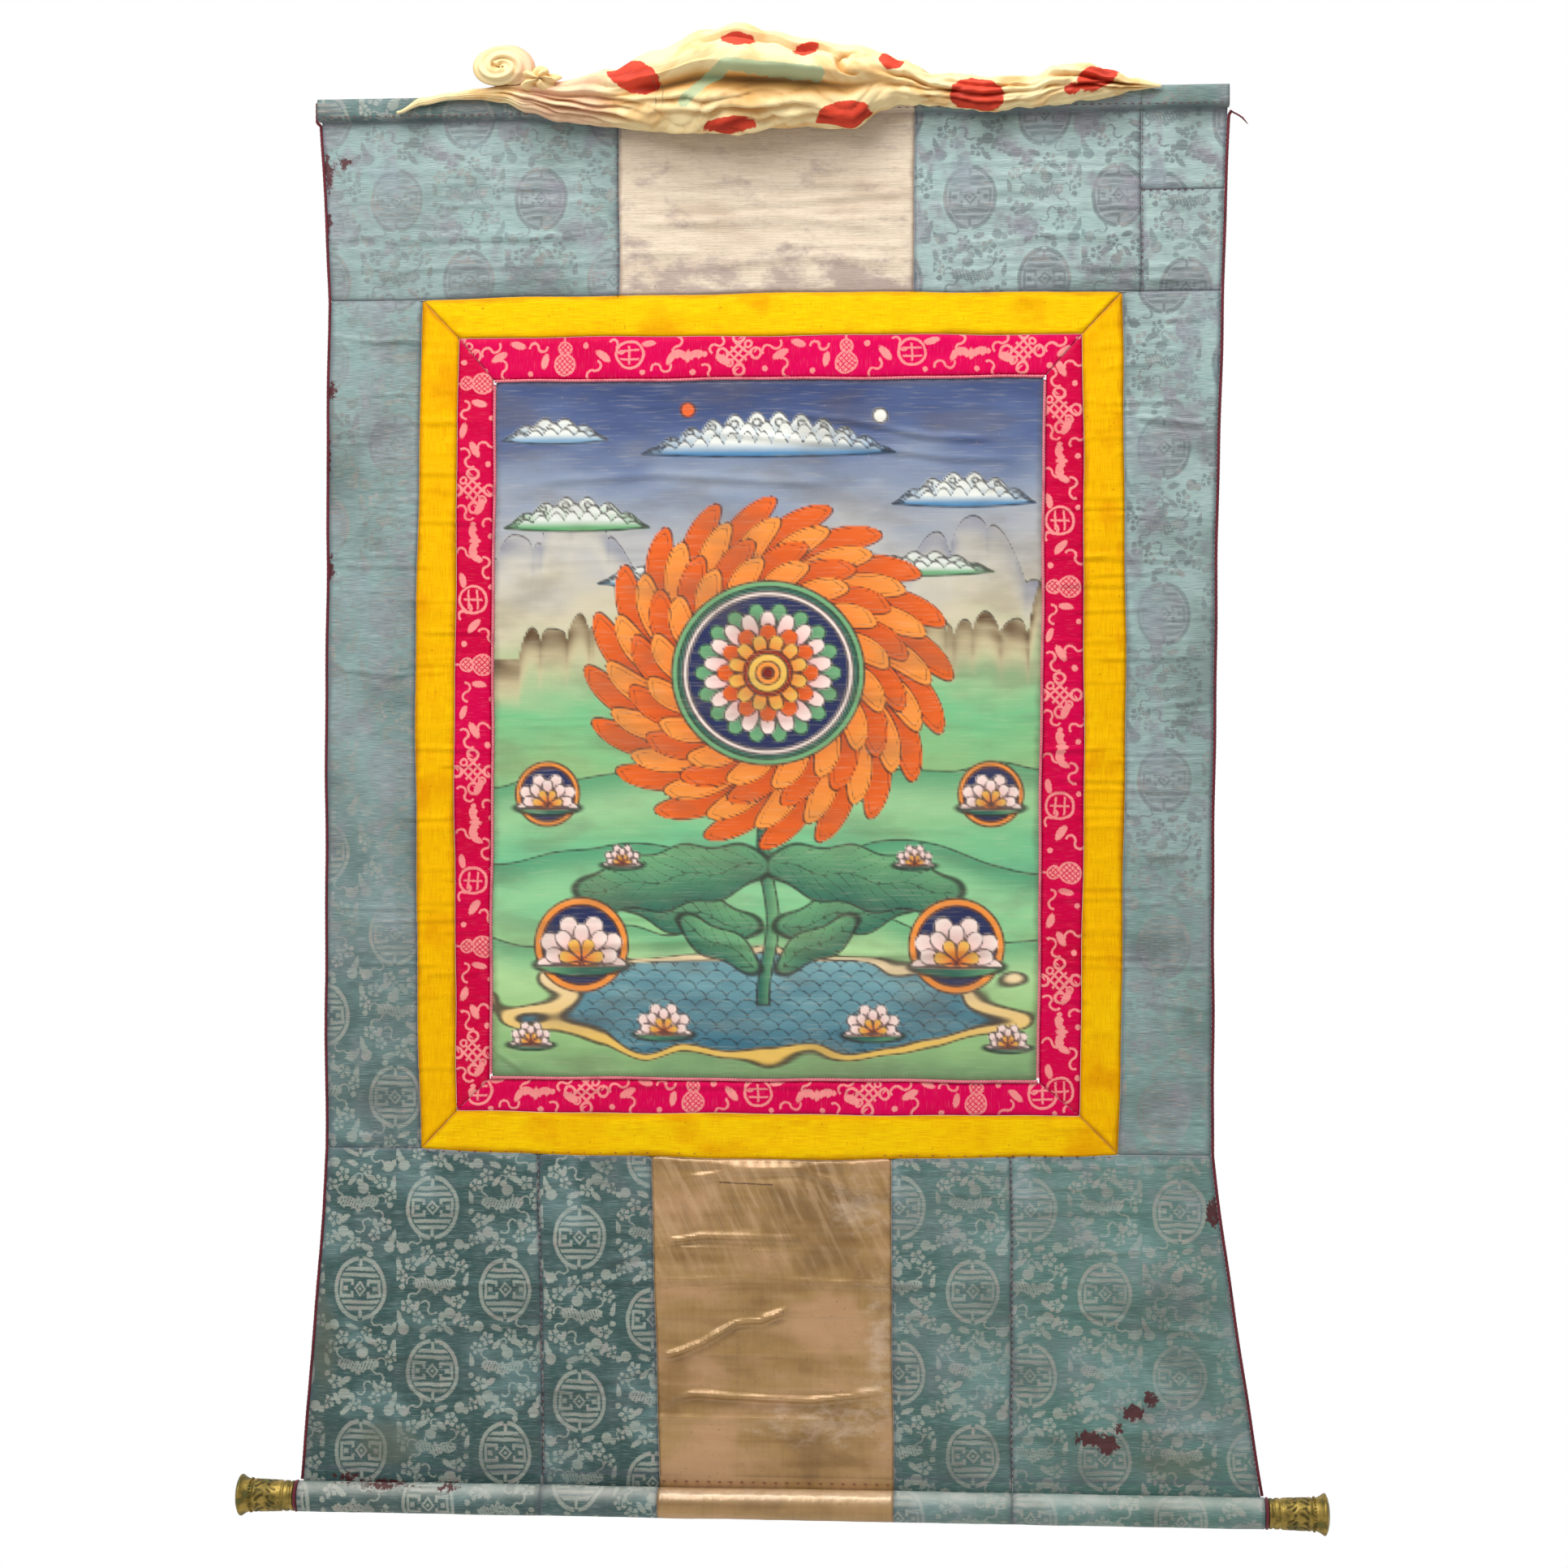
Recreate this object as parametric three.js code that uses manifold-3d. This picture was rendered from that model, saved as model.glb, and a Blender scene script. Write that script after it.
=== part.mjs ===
// Hung scroll painting: a painted cotton panel in a sewn silk mount, with a stave hem at the top, a roll with
// brass caps at the foot and a thin veil bunched along the top edge.
// Millimetres, +Z up, the front faces -Y. The origin is the middle of the hem's top edge.
import * as THREE from "three";
import { mergeVertices } from "three/addons/utils/BufferGeometryUtils.js";
import Module from "manifold-3d";

const wasm = await Module();
wasm.setup();

// Cloth and sewing
const CLOTH_THICK = 2;
const SEAM_GAP = 0.3;
const ROLL_SEAM_GAP = 0.6;
const WALL_Y = 2; // the backs of the hem and of the roll lie in this plane

// Nested frames round the picture: corners as [x, z], and how far each edge bows out at its middle
const PICTURE = { tl: [-226.3, -234], tr: [225.8, -234.5], br: [220.1, -808.5], bl: [-229.5, -808.3] };
const PICTURE_BOW = { top: 0, right: 0, bottom: 0, left: 0 };
const MAGENTA = { tl: [-256, -198.5], tr: [255.8, -200.5], br: [254, -836.3], bl: [-258, -836] };
const MAGENTA_BOW = { top: 0.5, right: 2.5, bottom: 0.5, left: 2.5 };
const YELLOW = { tl: [-286.5, -166.5], tr: [288.5, -166.5], br: [285, -867.5], bl: [-287.5, -867.5] };
const YELLOW_BOW = { top: 2.5, right: 4, bottom: 6, left: 5 };

// Long edges of the scroll: x at the hem, at the frame's top and bottom and at the roll, and the bows between
const EDGE_LEFT = { hem: -371, top: -363, bottom: -365.3, roll: -388, sideBow: -1, footBow: 1.5 };
const EDGE_RIGHT = { hem: 373.5, top: 368, bottom: 360, roll: 402, sideBow: -3, footBow: -2 };

// Seams of the top and bottom rows, x at the upper and the lower end
const PATCH_LEFT_X = -123;
const PATCH_RIGHT_X = 119.5;
const FAR_RIGHT_X = 304;
const FAR_RIGHT_SPLIT_Z = -84;
const BOTTOM_SEAMS = [
  { upper: -190, lower: -185 },
  { upper: -96, lower: -89.5 },
  { upper: 100.5, lower: 103 },
  { upper: 198.5, lower: 199.5 },
];

// Hem, roll, caps and cords
const HEM = { left: -373.5, right: 374.5, tall: 17.5, front: -8, round: 3 };
const ROLL = { radius: 12.5, axisZ: -1154, arcSteps: 12 };
const RING = { radius: 12.9, thick: 2.6, chamfer: 0.8, sides: 20 };
const CAP = {
  long: 47,
  innerRadius: 12.2,
  outerRadius: 13.6,
  grooveDeep: 0.9,
  flareRadius: 16.8,
  flareLong: 12,
  rim: 3,
  sides: 24,
};
const EDGE_CORD = { radius: 1.4, steps: 84, arcSteps: 3, clear: 0.5, aboveHem: -2 };
const LOOSE_THREAD = { radius: 0.8, steps: 8, arcSteps: 3 };
const THREAD_ROUTE = [[377, -21.6], [380.5, -23.4], [385.3, -26.6], [389.5, -31.5]];
const PICTURE_CORD = { radius: 1.3, steps: 12, arcSteps: 3, proud: 0.4 };

// Soft swells of the hung cloth: where, how wide and tall, and how far it stands forward there
const SWELLS = [
  { x: -40, z: -520, wide: 230, tall: 300, forward: 3.5 },
  { x: 250, z: -420, wide: 60, tall: 160, forward: 3 },
  { x: -330, z: -640, wide: 55, tall: 220, forward: 4 },
  { x: 352, z: -560, wide: 40, tall: 190, forward: 5 },
  { x: -352, z: -300, wide: 40, tall: 110, forward: 3 },
  { x: 230, z: -90, wide: 60, tall: 45, forward: 2.5 },
  { x: -250, z: -100, wide: 60, tall: 45, forward: 2 },
  { x: -150, z: -1005, wide: 38, tall: 100, forward: 4 },
  { x: 145, z: -1000, wide: 45, tall: 110, forward: 4.5 },
  { x: 300, z: -960, wide: 70, tall: 70, forward: 3 },
  { x: -320, z: -1000, wide: 60, tall: 90, forward: 3 },
  { x: 0, z: -900, wide: 70, tall: 25, forward: 2 },
];
const SWELL_EASE = 60; // the swells die out over this height at the hem and at the roll

// Main creases of the satin patch: the two ends, half width and height
const CREASES = [
  { from: [-86, -946], to: [38, -938], half: 12, forward: 3 },
  { from: [-88, -1038], to: [20, -996], half: 12, forward: 3 },
  { from: [-85, -1070], to: [100, -1066], half: 11, forward: 2.6 },
];

// Bunched veil: its top and bottom, and how far its front and back lie, at each place along the hem
const VEIL_ROWS = [
  { x: -306, top: -12, bottom: -14.5, front: -12.5, back: -10 },
  { x: -284, top: -1, bottom: -7.6, front: -14, back: -9.5 },
  { x: -261, top: 2, bottom: -4, front: -15, back: -9.5 },
  { x: -237, top: 5, bottom: -4, front: -17, back: -9 },
  { x: -217, top: 7, bottom: -7, front: -20, back: -5 },
  { x: -197, top: 8, bottom: -15.4, front: -23, back: -3 },
  { x: -170, top: 9, bottom: -23.6, front: -26, back: 0 },
  { x: -130, top: 17.5, bottom: -28.8, front: -31, back: 1.5 },
  { x: -90, top: 31.6, bottom: -32.7, front: -37, back: 1.5 },
  { x: -50, top: 46, bottom: -36.8, front: -42, back: 1.5 },
  { x: -23, top: 50.6, bottom: -37, front: -44, back: 1.5 },
  { x: 3, top: 46.2, bottom: -33.4, front: -43, back: 1.5 },
  { x: 36, top: 38.8, bottom: -32, front: -40, back: 1.5 },
  { x: 69, top: 32.8, bottom: -34.7, front: -37, back: 1.5 },
  { x: 95, top: 28, bottom: -18.6, front: -30, back: 1 },
  { x: 110, top: 21, bottom: -13.5, front: -25, back: 0 },
  { x: 135, top: 10.8, bottom: -14.7, front: -22, back: -2 },
  { x: 181, top: 6.5, bottom: -20.5, front: -22, back: -4 },
  { x: 214, top: 6.3, bottom: -17.2, front: -21, back: -3 },
  { x: 233, top: 14.6, bottom: -15.3, front: -25, back: 0 },
  { x: 259, top: 16.2, bottom: -13, front: -26, back: 1 },
  { x: 279, top: 11.3, bottom: -9.9, front: -22, back: 0 },
  { x: 295, top: 4.5, bottom: -5.8, front: -17, back: -6 },
  { x: 319, top: -0.5, bottom: -3.5, front: -12.5, back: -10 },
];
const VEIL_MESH = { sides: 24, steps: 60 };
const VEIL_CLEAR = 0.5;

// Troughs between the veil's folds: the run along x, the angle round it at each end (0 on top, 90 in front),
// half width in degrees and depth as a share of the radius
const VEIL_TROUGHS = [
  { from: -128, to: 106, start: 82, end: 112, wide: 22, deep: 0.38 },
  { from: -80, to: 90, start: 40, end: 58, wide: 17, deep: 0.16 },
  { from: -60, to: 70, start: 140, end: 132, wide: 14, deep: 0.12 },
  { from: -228, to: -100, start: 30, end: 122, wide: 20, deep: 0.24 },
  { from: -210, to: -92, start: 84, end: 162, wide: 18, deep: 0.22 },
  { from: 104, to: 240, start: 84, end: 98, wide: 24, deep: 0.28 },
  { from: 222, to: 306, start: 50, end: 124, wide: 22, deep: 0.24 },
];
const BUN = { x: -215, y: -13, z: 21.5, wide: 29, out: 14, tall: 18.8, turns: 1.6, groove: 0.1 };
const BOW = { x: -181, y: -22, z: 11.5, wide: 13, out: 7, tall: 7.5, turns: 1, groove: 0.12 };

// Finishes
const FINISH = {
  painting: { color: 0x6f8f8a, roughness: 0.85, metalness: 0 },
  pinkCord: { color: 0xd86a86, roughness: 0.7, metalness: 0 },
  magenta: { color: 0xc8124f, roughness: 0.6, metalness: 0 },
  yellow: { color: 0xe3b21c, roughness: 0.55, metalness: 0 },
  blue: { color: 0x6f9298, roughness: 0.6, metalness: 0 },
  cream: { color: 0xd2bfa2, roughness: 0.7, metalness: 0 },
  gold: { color: 0x9c7a46, roughness: 0.4, metalness: 0 },
  redCord: { color: 0x7a1620, roughness: 0.75, metalness: 0 },
  veil: { color: 0xf0dfb4, roughness: 0.7, metalness: 0 },
  brass: { color: 0x97803a, roughness: 0.4, metalness: 0.9 },
};

// Small helpers
const lerp = THREE.MathUtils.lerp;
const arch = (s) => 4 * s * (1 - s);

function smooth(value) {
  return THREE.MathUtils.smoothstep(value, 0, 1);
}

// Gaussian swell of height one
function bell(distance) {
  return Math.exp(-distance * distance);
}

// Moves every point of a closed geometry and joins the points that fall together
function shaped(geometry, map) {
  const place = geometry.attributes.position;
  const point = new THREE.Vector3();
  for (let i = 0; i < place.count; i += 1) {
    point.fromBufferAttribute(place, i);
    const moved = map(point);
    place.setXYZ(i, moved.x, moved.y, moved.z);
  }
  geometry.deleteAttribute("normal");
  geometry.deleteAttribute("uv");
  return mergeVertices(geometry);
}

function solid(geometry) {
  const vertProperties = new Float32Array(geometry.attributes.position.array);
  const triVerts = new Uint32Array(geometry.index.array);
  return new wasm.Manifold(new wasm.Mesh({ numProp: 3, vertProperties, triVerts }));
}

function geometryOf(body) {
  const mesh = body.getMesh();
  const geometry = new THREE.BufferGeometry();
  geometry.setAttribute("position", new THREE.BufferAttribute(mesh.vertProperties, 3));
  geometry.setIndex(new THREE.BufferAttribute(mesh.triVerts, 1));
  return geometry;
}

// Surface that every sheet follows
function creaseForward(crease, x, z) {
  const runX = crease.to[0] - crease.from[0];
  const runZ = crease.to[1] - crease.from[1];
  const length = Math.hypot(runX, runZ);
  const along = ((x - crease.from[0]) * runX + (z - crease.from[1]) * runZ) / length;
  const across = ((x - crease.from[0]) * runZ - (z - crease.from[1]) * runX) / length;
  const past = Math.max(0, -along, along - length);
  return crease.forward * bell(Math.hypot(across, past) / crease.half);
}

function clothY(x, z) {
  const belowHem = (-HEM.tall - z) / SWELL_EASE;
  const aboveRoll = (z - ROLL.axisZ - ROLL.radius) / SWELL_EASE;
  const ease = smooth(belowHem) * smooth(aboveRoll);
  let forward = 0;
  for (const swell of SWELLS) {
    forward += swell.forward * bell((x - swell.x) / swell.wide) * bell((z - swell.z) / swell.tall);
  }
  for (const crease of CREASES) {
    forward += creaseForward(crease, x, z);
  }
  return -forward * ease;
}

// Edges are functions of s from 0 to 1 that give [x, z]
function bowed(from, to, bow) {
  return (s) => [
    lerp(from[0], to[0], s) + bow[0] * arch(s),
    lerp(from[1], to[1], s) + bow[1] * arch(s),
  ];
}

function straight(from, to) {
  return bowed(from, to, [0, 0]);
}

function frameEdges(corner, bow) {
  return {
    top: bowed(corner.tl, corner.tr, [0, bow.top]),
    bottom: bowed(corner.bl, corner.br, [0, -bow.bottom]),
    left: bowed(corner.tl, corner.bl, [-bow.left, 0]),
    right: bowed(corner.tr, corner.br, [bow.right, 0]),
  };
}

// Seams above and below the frames, as z at a given x
function topSeam(x) {
  const s = THREE.MathUtils.clamp((x - YELLOW.tl[0]) / (YELLOW.tr[0] - YELLOW.tl[0]), 0, 1);
  return YELLOW.tl[1] + YELLOW_BOW.top * arch(s);
}

function bottomSeam(x) {
  const s = THREE.MathUtils.clamp((x - YELLOW.bl[0]) / (YELLOW.br[0] - YELLOW.bl[0]), 0, 1);
  return YELLOW.bl[1] - YELLOW_BOW.bottom * arch(s);
}

function seamRun(fromX, toX, seam) {
  return (s) => {
    const x = lerp(fromX, toX, s);
    return [x, seam(x)];
  };
}

// Sheet between four edges: a thin box whose points are moved on to the cloth's surface
function sheet(sides, across, down, inset) {
  const width = sides.top(1)[0] - sides.top(0)[0];
  const height = sides.left(0)[1] - sides.left(1)[1];
  const box = new THREE.BoxGeometry(1, 1, 1, across, 1, down);
  return shaped(box, (p) => {
    const u = lerp(inset.left / width, 1 - inset.right / width, p.x + 0.5);
    const v = lerp(inset.top / height, 1 - inset.bottom / height, 0.5 - p.z);
    const [x, z] = [0, 1].map((axis) => {
      const upright = lerp(sides.top(u)[axis], sides.bottom(u)[axis], v);
      const level = lerp(sides.left(v)[axis], sides.right(v)[axis], u);
      const upperCorners = lerp(sides.top(0)[axis], sides.top(1)[axis], u);
      const lowerCorners = lerp(sides.bottom(0)[axis], sides.bottom(1)[axis], u);
      return upright + level - lerp(upperCorners, lowerCorners, v);
    });
    return new THREE.Vector3(x, clothY(x, z) + p.y * CLOTH_THICK, z);
  });
}

function insets(changes) {
  const half = SEAM_GAP / 2;
  return { top: half, right: half, bottom: half, left: half, ...changes };
}

// Section in the YZ plane, drawn out from one x to another
function alongX(section, fromX, toX, arcSteps) {
  const options = { depth: toX - fromX, bevelEnabled: false, curveSegments: arcSteps };
  const bar = new THREE.ExtrudeGeometry(section, options);
  return shaped(bar, (p) => new THREE.Vector3(fromX + p.z, p.x, p.y));
}

function hemBar(fromX, toX) {
  const section = new THREE.Shape();
  section.moveTo(WALL_Y, -HEM.tall);
  section.lineTo(WALL_Y, 0);
  section.lineTo(HEM.front + HEM.round, 0);
  section.absarc(HEM.front + HEM.round, -HEM.round, HEM.round, Math.PI / 2, Math.PI, false);
  section.absarc(HEM.front + HEM.round, HEM.round - HEM.tall, HEM.round, Math.PI, 1.5 * Math.PI, false);
  section.closePath();
  return alongX(section, fromX, toX, 4);
}

function rollBar(fromX, toX) {
  const section = new THREE.Shape();
  section.absarc(WALL_Y - ROLL.radius, ROLL.axisZ, ROLL.radius, 0, 2 * Math.PI, false);
  return alongX(section, fromX, toX, ROLL.arcSteps);
}

// Turned shape about the roll's axis, from its inner face outwards
function turned(profile, sides, faceX, outwards) {
  const points = profile.map(([radius, along]) => new THREE.Vector2(radius, along));
  const lathe = new THREE.LatheGeometry(points, sides);
  return shaped(lathe, (p) => new THREE.Vector3(
    faceX + outwards * p.y,
    WALL_Y - ROLL.radius + outwards * p.z,
    ROLL.axisZ + p.x,
  ));
}

// Round cord along a list of points
function cord(points, size) {
  const section = new THREE.Shape();
  section.absarc(0, 0, size.radius, 0, 2 * Math.PI, false);
  const extrudePath = new THREE.CatmullRomCurve3(points);
  const options = { steps: size.steps, extrudePath, curveSegments: size.arcSteps };
  return shaped(new THREE.ExtrudeGeometry(section, options), (p) => p);
}

const part = new THREE.Group();
part.name = "scroll_painting";

function add(name, geometry, finish) {
  const mesh = new THREE.Mesh(geometry, new THREE.MeshStandardMaterial(finish));
  mesh.name = name;
  part.add(mesh);
}

// Picture and its two mitred borders
const pictureEdges = frameEdges(PICTURE, PICTURE_BOW);
const magentaEdges = frameEdges(MAGENTA, MAGENTA_BOW);
const yellowEdges = frameEdges(YELLOW, YELLOW_BOW);
const cordInset = PICTURE_CORD.radius + SEAM_GAP;

const pictureInsets = { top: cordInset, right: cordInset, bottom: cordInset, left: cordInset };
add("painting", sheet(pictureEdges, 10, 14, pictureInsets), FINISH.painting);

function border(name, outer, inner, innerInset, finish) {
  const mitre = {
    tl: straight(outer.top(0), inner.top(0)),
    tr: straight(outer.top(1), inner.top(1)),
    bl: straight(outer.bottom(0), inner.bottom(0)),
    br: straight(outer.bottom(1), inner.bottom(1)),
  };
  const turnedRound = (edge) => (s) => edge(1 - s);
  const strips = {
    top: { top: outer.top, bottom: inner.top, left: mitre.tl, right: mitre.tr },
    bottom: {
      top: inner.bottom,
      bottom: outer.bottom,
      left: turnedRound(mitre.bl),
      right: turnedRound(mitre.br),
    },
    left: { top: mitre.tl, bottom: mitre.bl, left: outer.left, right: inner.left },
    right: { top: turnedRound(mitre.tr), bottom: turnedRound(mitre.br), left: inner.right, right: outer.right },
  };
  add(`${name}_top`, sheet(strips.top, 12, 2, insets({ bottom: innerInset })), finish);
  add(`${name}_bottom`, sheet(strips.bottom, 12, 2, insets({ top: innerInset })), finish);
  add(`${name}_left`, sheet(strips.left, 2, 14, insets({ right: innerInset })), finish);
  add(`${name}_right`, sheet(strips.right, 2, 14, insets({ left: innerInset })), finish);
}

border("magenta", magentaEdges, pictureEdges, cordInset, FINISH.magenta);
border("yellow", yellowEdges, magentaEdges, SEAM_GAP / 2, FINISH.yellow);

// Pink cord round the picture, the upright runs between the level ones
function pictureCord(edge, ends) {
  const points = [];
  for (let i = 0; i <= PICTURE_CORD.steps; i += 1) {
    const [x, z] = edge(lerp(ends, 1 - ends, i / PICTURE_CORD.steps));
    points.push(new THREE.Vector3(x, clothY(x, z) - PICTURE_CORD.proud, z));
  }
  return cord(points, PICTURE_CORD);
}

const pictureHeight = PICTURE.tl[1] - PICTURE.bl[1];
const uprightEnds = (cordInset + SEAM_GAP) / pictureHeight;
add("painting_piping_top", pictureCord(pictureEdges.top, 0), FINISH.pinkCord);
add("painting_piping_bottom", pictureCord(pictureEdges.bottom, 0), FINISH.pinkCord);
add("painting_piping_left", pictureCord(pictureEdges.left, uprightEnds), FINISH.pinkCord);
add("painting_piping_right", pictureCord(pictureEdges.right, uprightEnds), FINISH.pinkCord);

// Long edges of the scroll
function longEdge(edge, corner) {
  const topZ = corner.top[1];
  const bottomZ = corner.bottom[1];
  return {
    head: straight([edge.hem, -HEM.tall / 2], [edge.top, topZ]),
    side: bowed([edge.top, topZ], [edge.bottom, bottomZ], [edge.sideBow, 0]),
    foot: bowed([edge.bottom, bottomZ], [edge.roll, ROLL.axisZ], [edge.footBow, 0]),
  };
}

const leftEdge = longEdge(EDGE_LEFT, { top: YELLOW.tl, bottom: YELLOW.bl });
const rightEdge = longEdge(EDGE_RIGHT, { top: YELLOW.tr, bottom: YELLOW.br });

// Top row: each piece hangs from its own length of the hem
function hemmed(left, right, hemFromX, hemToX, bottom, across, down) {
  const sides = { top: straight(left(0), right(0)), bottom, left, right };
  const cloth = solid(sheet(sides, across, down, insets({ top: 0 })));
  return geometryOf(cloth.add(solid(hemBar(hemFromX, hemToX))));
}

const seamHalf = SEAM_GAP / 2;
const hemMiddle = -HEM.tall / 2;
const patchLeft = straight([PATCH_LEFT_X, hemMiddle], [PATCH_LEFT_X, topSeam(PATCH_LEFT_X)]);
const patchRight = straight([PATCH_RIGHT_X, hemMiddle], [PATCH_RIGHT_X, topSeam(PATCH_RIGHT_X)]);
const farRight = straight([FAR_RIGHT_X, hemMiddle], [FAR_RIGHT_X, topSeam(FAR_RIGHT_X)]);
const splitShare = (hemMiddle - FAR_RIGHT_SPLIT_Z) / (hemMiddle - YELLOW.tr[1]);
const farRightUpper = (edge) => (s) => edge(s * splitShare);
const farRightLower = (edge) => (s) => edge(lerp(splitShare, 1, s));
const split = straight(farRight(splitShare), rightEdge.head(splitShare));

add("top_left", hemmed(leftEdge.head, patchLeft, HEM.left, PATCH_LEFT_X - seamHalf,
  seamRun(EDGE_LEFT.top, PATCH_LEFT_X, topSeam), 8, 5), FINISH.blue);
add("top_patch", hemmed(patchLeft, patchRight, PATCH_LEFT_X + seamHalf, PATCH_RIGHT_X - seamHalf,
  seamRun(PATCH_LEFT_X, PATCH_RIGHT_X, topSeam), 6, 4), FINISH.cream);
add("top_right", hemmed(patchRight, farRight, PATCH_RIGHT_X + seamHalf, FAR_RIGHT_X - seamHalf,
  seamRun(PATCH_RIGHT_X, FAR_RIGHT_X, topSeam), 6, 5), FINISH.blue);
add("top_far_right_upper", hemmed(farRightUpper(farRight), farRightUpper(rightEdge.head),
  FAR_RIGHT_X + seamHalf, HEM.right, split, 3, 3), FINISH.blue);
const lowerCorner = {
  top: split,
  bottom: seamRun(FAR_RIGHT_X, EDGE_RIGHT.top, topSeam),
  left: farRightLower(farRight),
  right: farRightLower(rightEdge.head),
};
add("top_far_right_lower", sheet(lowerCorner, 3, 3, insets({})), FINISH.blue);

// Strips beside the frames
const stripLeft = {
  top: straight(leftEdge.side(0), yellowEdges.left(0)),
  bottom: straight(leftEdge.side(1), yellowEdges.left(1)),
  left: leftEdge.side,
  right: yellowEdges.left,
};
const stripRight = {
  top: straight(yellowEdges.right(0), rightEdge.side(0)),
  bottom: straight(yellowEdges.right(1), rightEdge.side(1)),
  left: yellowEdges.right,
  right: rightEdge.side,
};
add("side_left", sheet(stripLeft, 4, 20, insets({})), FINISH.blue);
add("side_right", sheet(stripRight, 4, 20, insets({})), FINISH.blue);

// Bottom row: each piece is wound round the roll at its foot
const bottomEdges = [
  leftEdge.foot,
  ...BOTTOM_SEAMS.map((seam) => straight([seam.upper, bottomSeam(seam.upper)], [seam.lower, ROLL.axisZ])),
  rightEdge.foot,
];
const bottomPieces = [
  { name: "bottom_outer_left", across: 6, down: 9, finish: FINISH.blue },
  { name: "bottom_inner_left", across: 4, down: 9, finish: FINISH.blue },
  { name: "bottom_patch", across: 7, down: 24, finish: FINISH.gold },
  { name: "bottom_inner_right", across: 4, down: 9, finish: FINISH.blue },
  { name: "bottom_outer_right", across: 6, down: 9, finish: FINISH.blue },
];
const rollHalfGap = ROLL_SEAM_GAP / 2;
for (const [i, piece] of bottomPieces.entries()) {
  const left = bottomEdges[i];
  const right = bottomEdges[i + 1];
  const sides = {
    top: seamRun(left(0)[0], right(0)[0], bottomSeam),
    bottom: straight(left(1), right(1)),
    left,
    right,
  };
  const cloth = solid(sheet(sides, piece.across, piece.down, insets({ bottom: 0 })));
  const wound = solid(rollBar(left(1)[0] + rollHalfGap, right(1)[0] - rollHalfGap));
  add(piece.name, geometryOf(cloth.add(wound)), piece.finish);
}

// Dark red cord on the long edges down to the roll's ring, and the thread that hangs loose at the right
function edgePoints(edge, outwards) {
  const offset = outwards * (EDGE_CORD.radius + EDGE_CORD.clear);
  const ringTop = ROLL.axisZ + RING.radius - EDGE_CORD.radius;
  const runs = [
    { run: edge.head, stops: [0.075, 0.2, 0.45, 0.8] },
    { run: edge.side, stops: [0, 0.1, 0.2, 0.3, 0.4, 0.5, 0.6, 0.7, 0.8, 0.9] },
    { run: edge.foot, stops: [0, 0.15, 0.3, 0.45, 0.6, 0.75, 0.9] },
  ];
  const points = [];
  for (const { run, stops } of runs) {
    for (const stop of stops) {
      const [x, z] = run(stop);
      points.push(new THREE.Vector3(x + offset, clothY(x, z), z));
    }
  }
  const endX = edge.foot(1)[0];
  points.push(new THREE.Vector3(endX + offset, 0, ringTop));
  return points;
}

const leftCord = edgePoints(leftEdge, -1);
const rightCord = edgePoints(rightEdge, 1);
const hemEndX = HEM.left - EDGE_CORD.radius - SEAM_GAP;
const hemEndZ = [EDGE_CORD.aboveHem, hemMiddle, -HEM.tall];
leftCord.unshift(...hemEndZ.map((z) => new THREE.Vector3(hemEndX, 0, z)));
const threadPoints = THREAD_ROUTE.map(([x, z]) => new THREE.Vector3(x, 0, z));
add("edge_piping_left", cord(leftCord, EDGE_CORD), FINISH.redCord);
add("edge_piping_right", cord(rightCord, EDGE_CORD), FINISH.redCord);
add("loose_thread", cord(threadPoints, LOOSE_THREAD), FINISH.redCord);

// Cord wound at the ends of the roll, and the brass caps
const ringProfile = [
  [0, 0],
  [RING.radius - RING.chamfer, 0],
  [RING.radius, RING.chamfer],
  [RING.radius, RING.thick - RING.chamfer],
  [RING.radius - RING.chamfer, RING.thick],
  [0, RING.thick],
];
const flareStart = CAP.long - CAP.flareLong;
const capRadius = (share) => lerp(CAP.innerRadius, CAP.outerRadius, share);
const capProfile = [
  [0, 0],
  [capRadius(0), 0],
  [capRadius(0.2), flareStart * 0.2],
  [capRadius(0.26) - CAP.grooveDeep, flareStart * 0.26],
  [capRadius(0.32), flareStart * 0.32],
  [capRadius(0.9), flareStart * 0.9],
  [capRadius(1) - CAP.grooveDeep, flareStart],
  [lerp(CAP.outerRadius, CAP.flareRadius, 0.3), lerp(flareStart, CAP.long, 0.4)],
  [CAP.flareRadius, CAP.long - CAP.rim],
  [CAP.flareRadius, CAP.long - CAP.rim / 2],
  [CAP.flareRadius - CAP.rim / 2, CAP.long],
  [0, CAP.long + CAP.rim / 2],
];
for (const { name, edge, outwards } of [
  { name: "left", edge: EDGE_LEFT, outwards: -1 },
  { name: "right", edge: EDGE_RIGHT, outwards: 1 },
]) {
  const ringX = edge.roll + outwards * SEAM_GAP;
  const capX = ringX + outwards * (RING.thick + SEAM_GAP);
  add(`roll_ring_${name}`, turned(ringProfile, RING.sides, ringX, outwards), FINISH.redCord);
  add(`cap_${name}`, turned(capProfile, CAP.sides, capX, outwards), FINISH.brass);
}

// Veil: one bunched length of silk with its folds, the rolled bun and the small bow
function veilRow(x) {
  const next = Math.max(1, VEIL_ROWS.findIndex((row) => row.x >= x));
  const a = VEIL_ROWS[next - 1];
  const b = VEIL_ROWS[next];
  const t = smooth((x - a.x) / (b.x - a.x));
  const row = {};
  for (const key of ["top", "bottom", "front", "back"]) {
    row[key] = lerp(a[key], b[key], t);
  }
  return row;
}

function troughDepth(x, angle) {
  let depth = 0;
  for (const trough of VEIL_TROUGHS) {
    const t = (x - trough.from) / (trough.to - trough.from);
    if (t > 0 && t < 1) {
      const across = (angle - lerp(trough.start, trough.end, t)) / trough.wide;
      depth += trough.deep * Math.sin(Math.PI * t) * bell(across);
    }
  }
  return depth;
}

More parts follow.
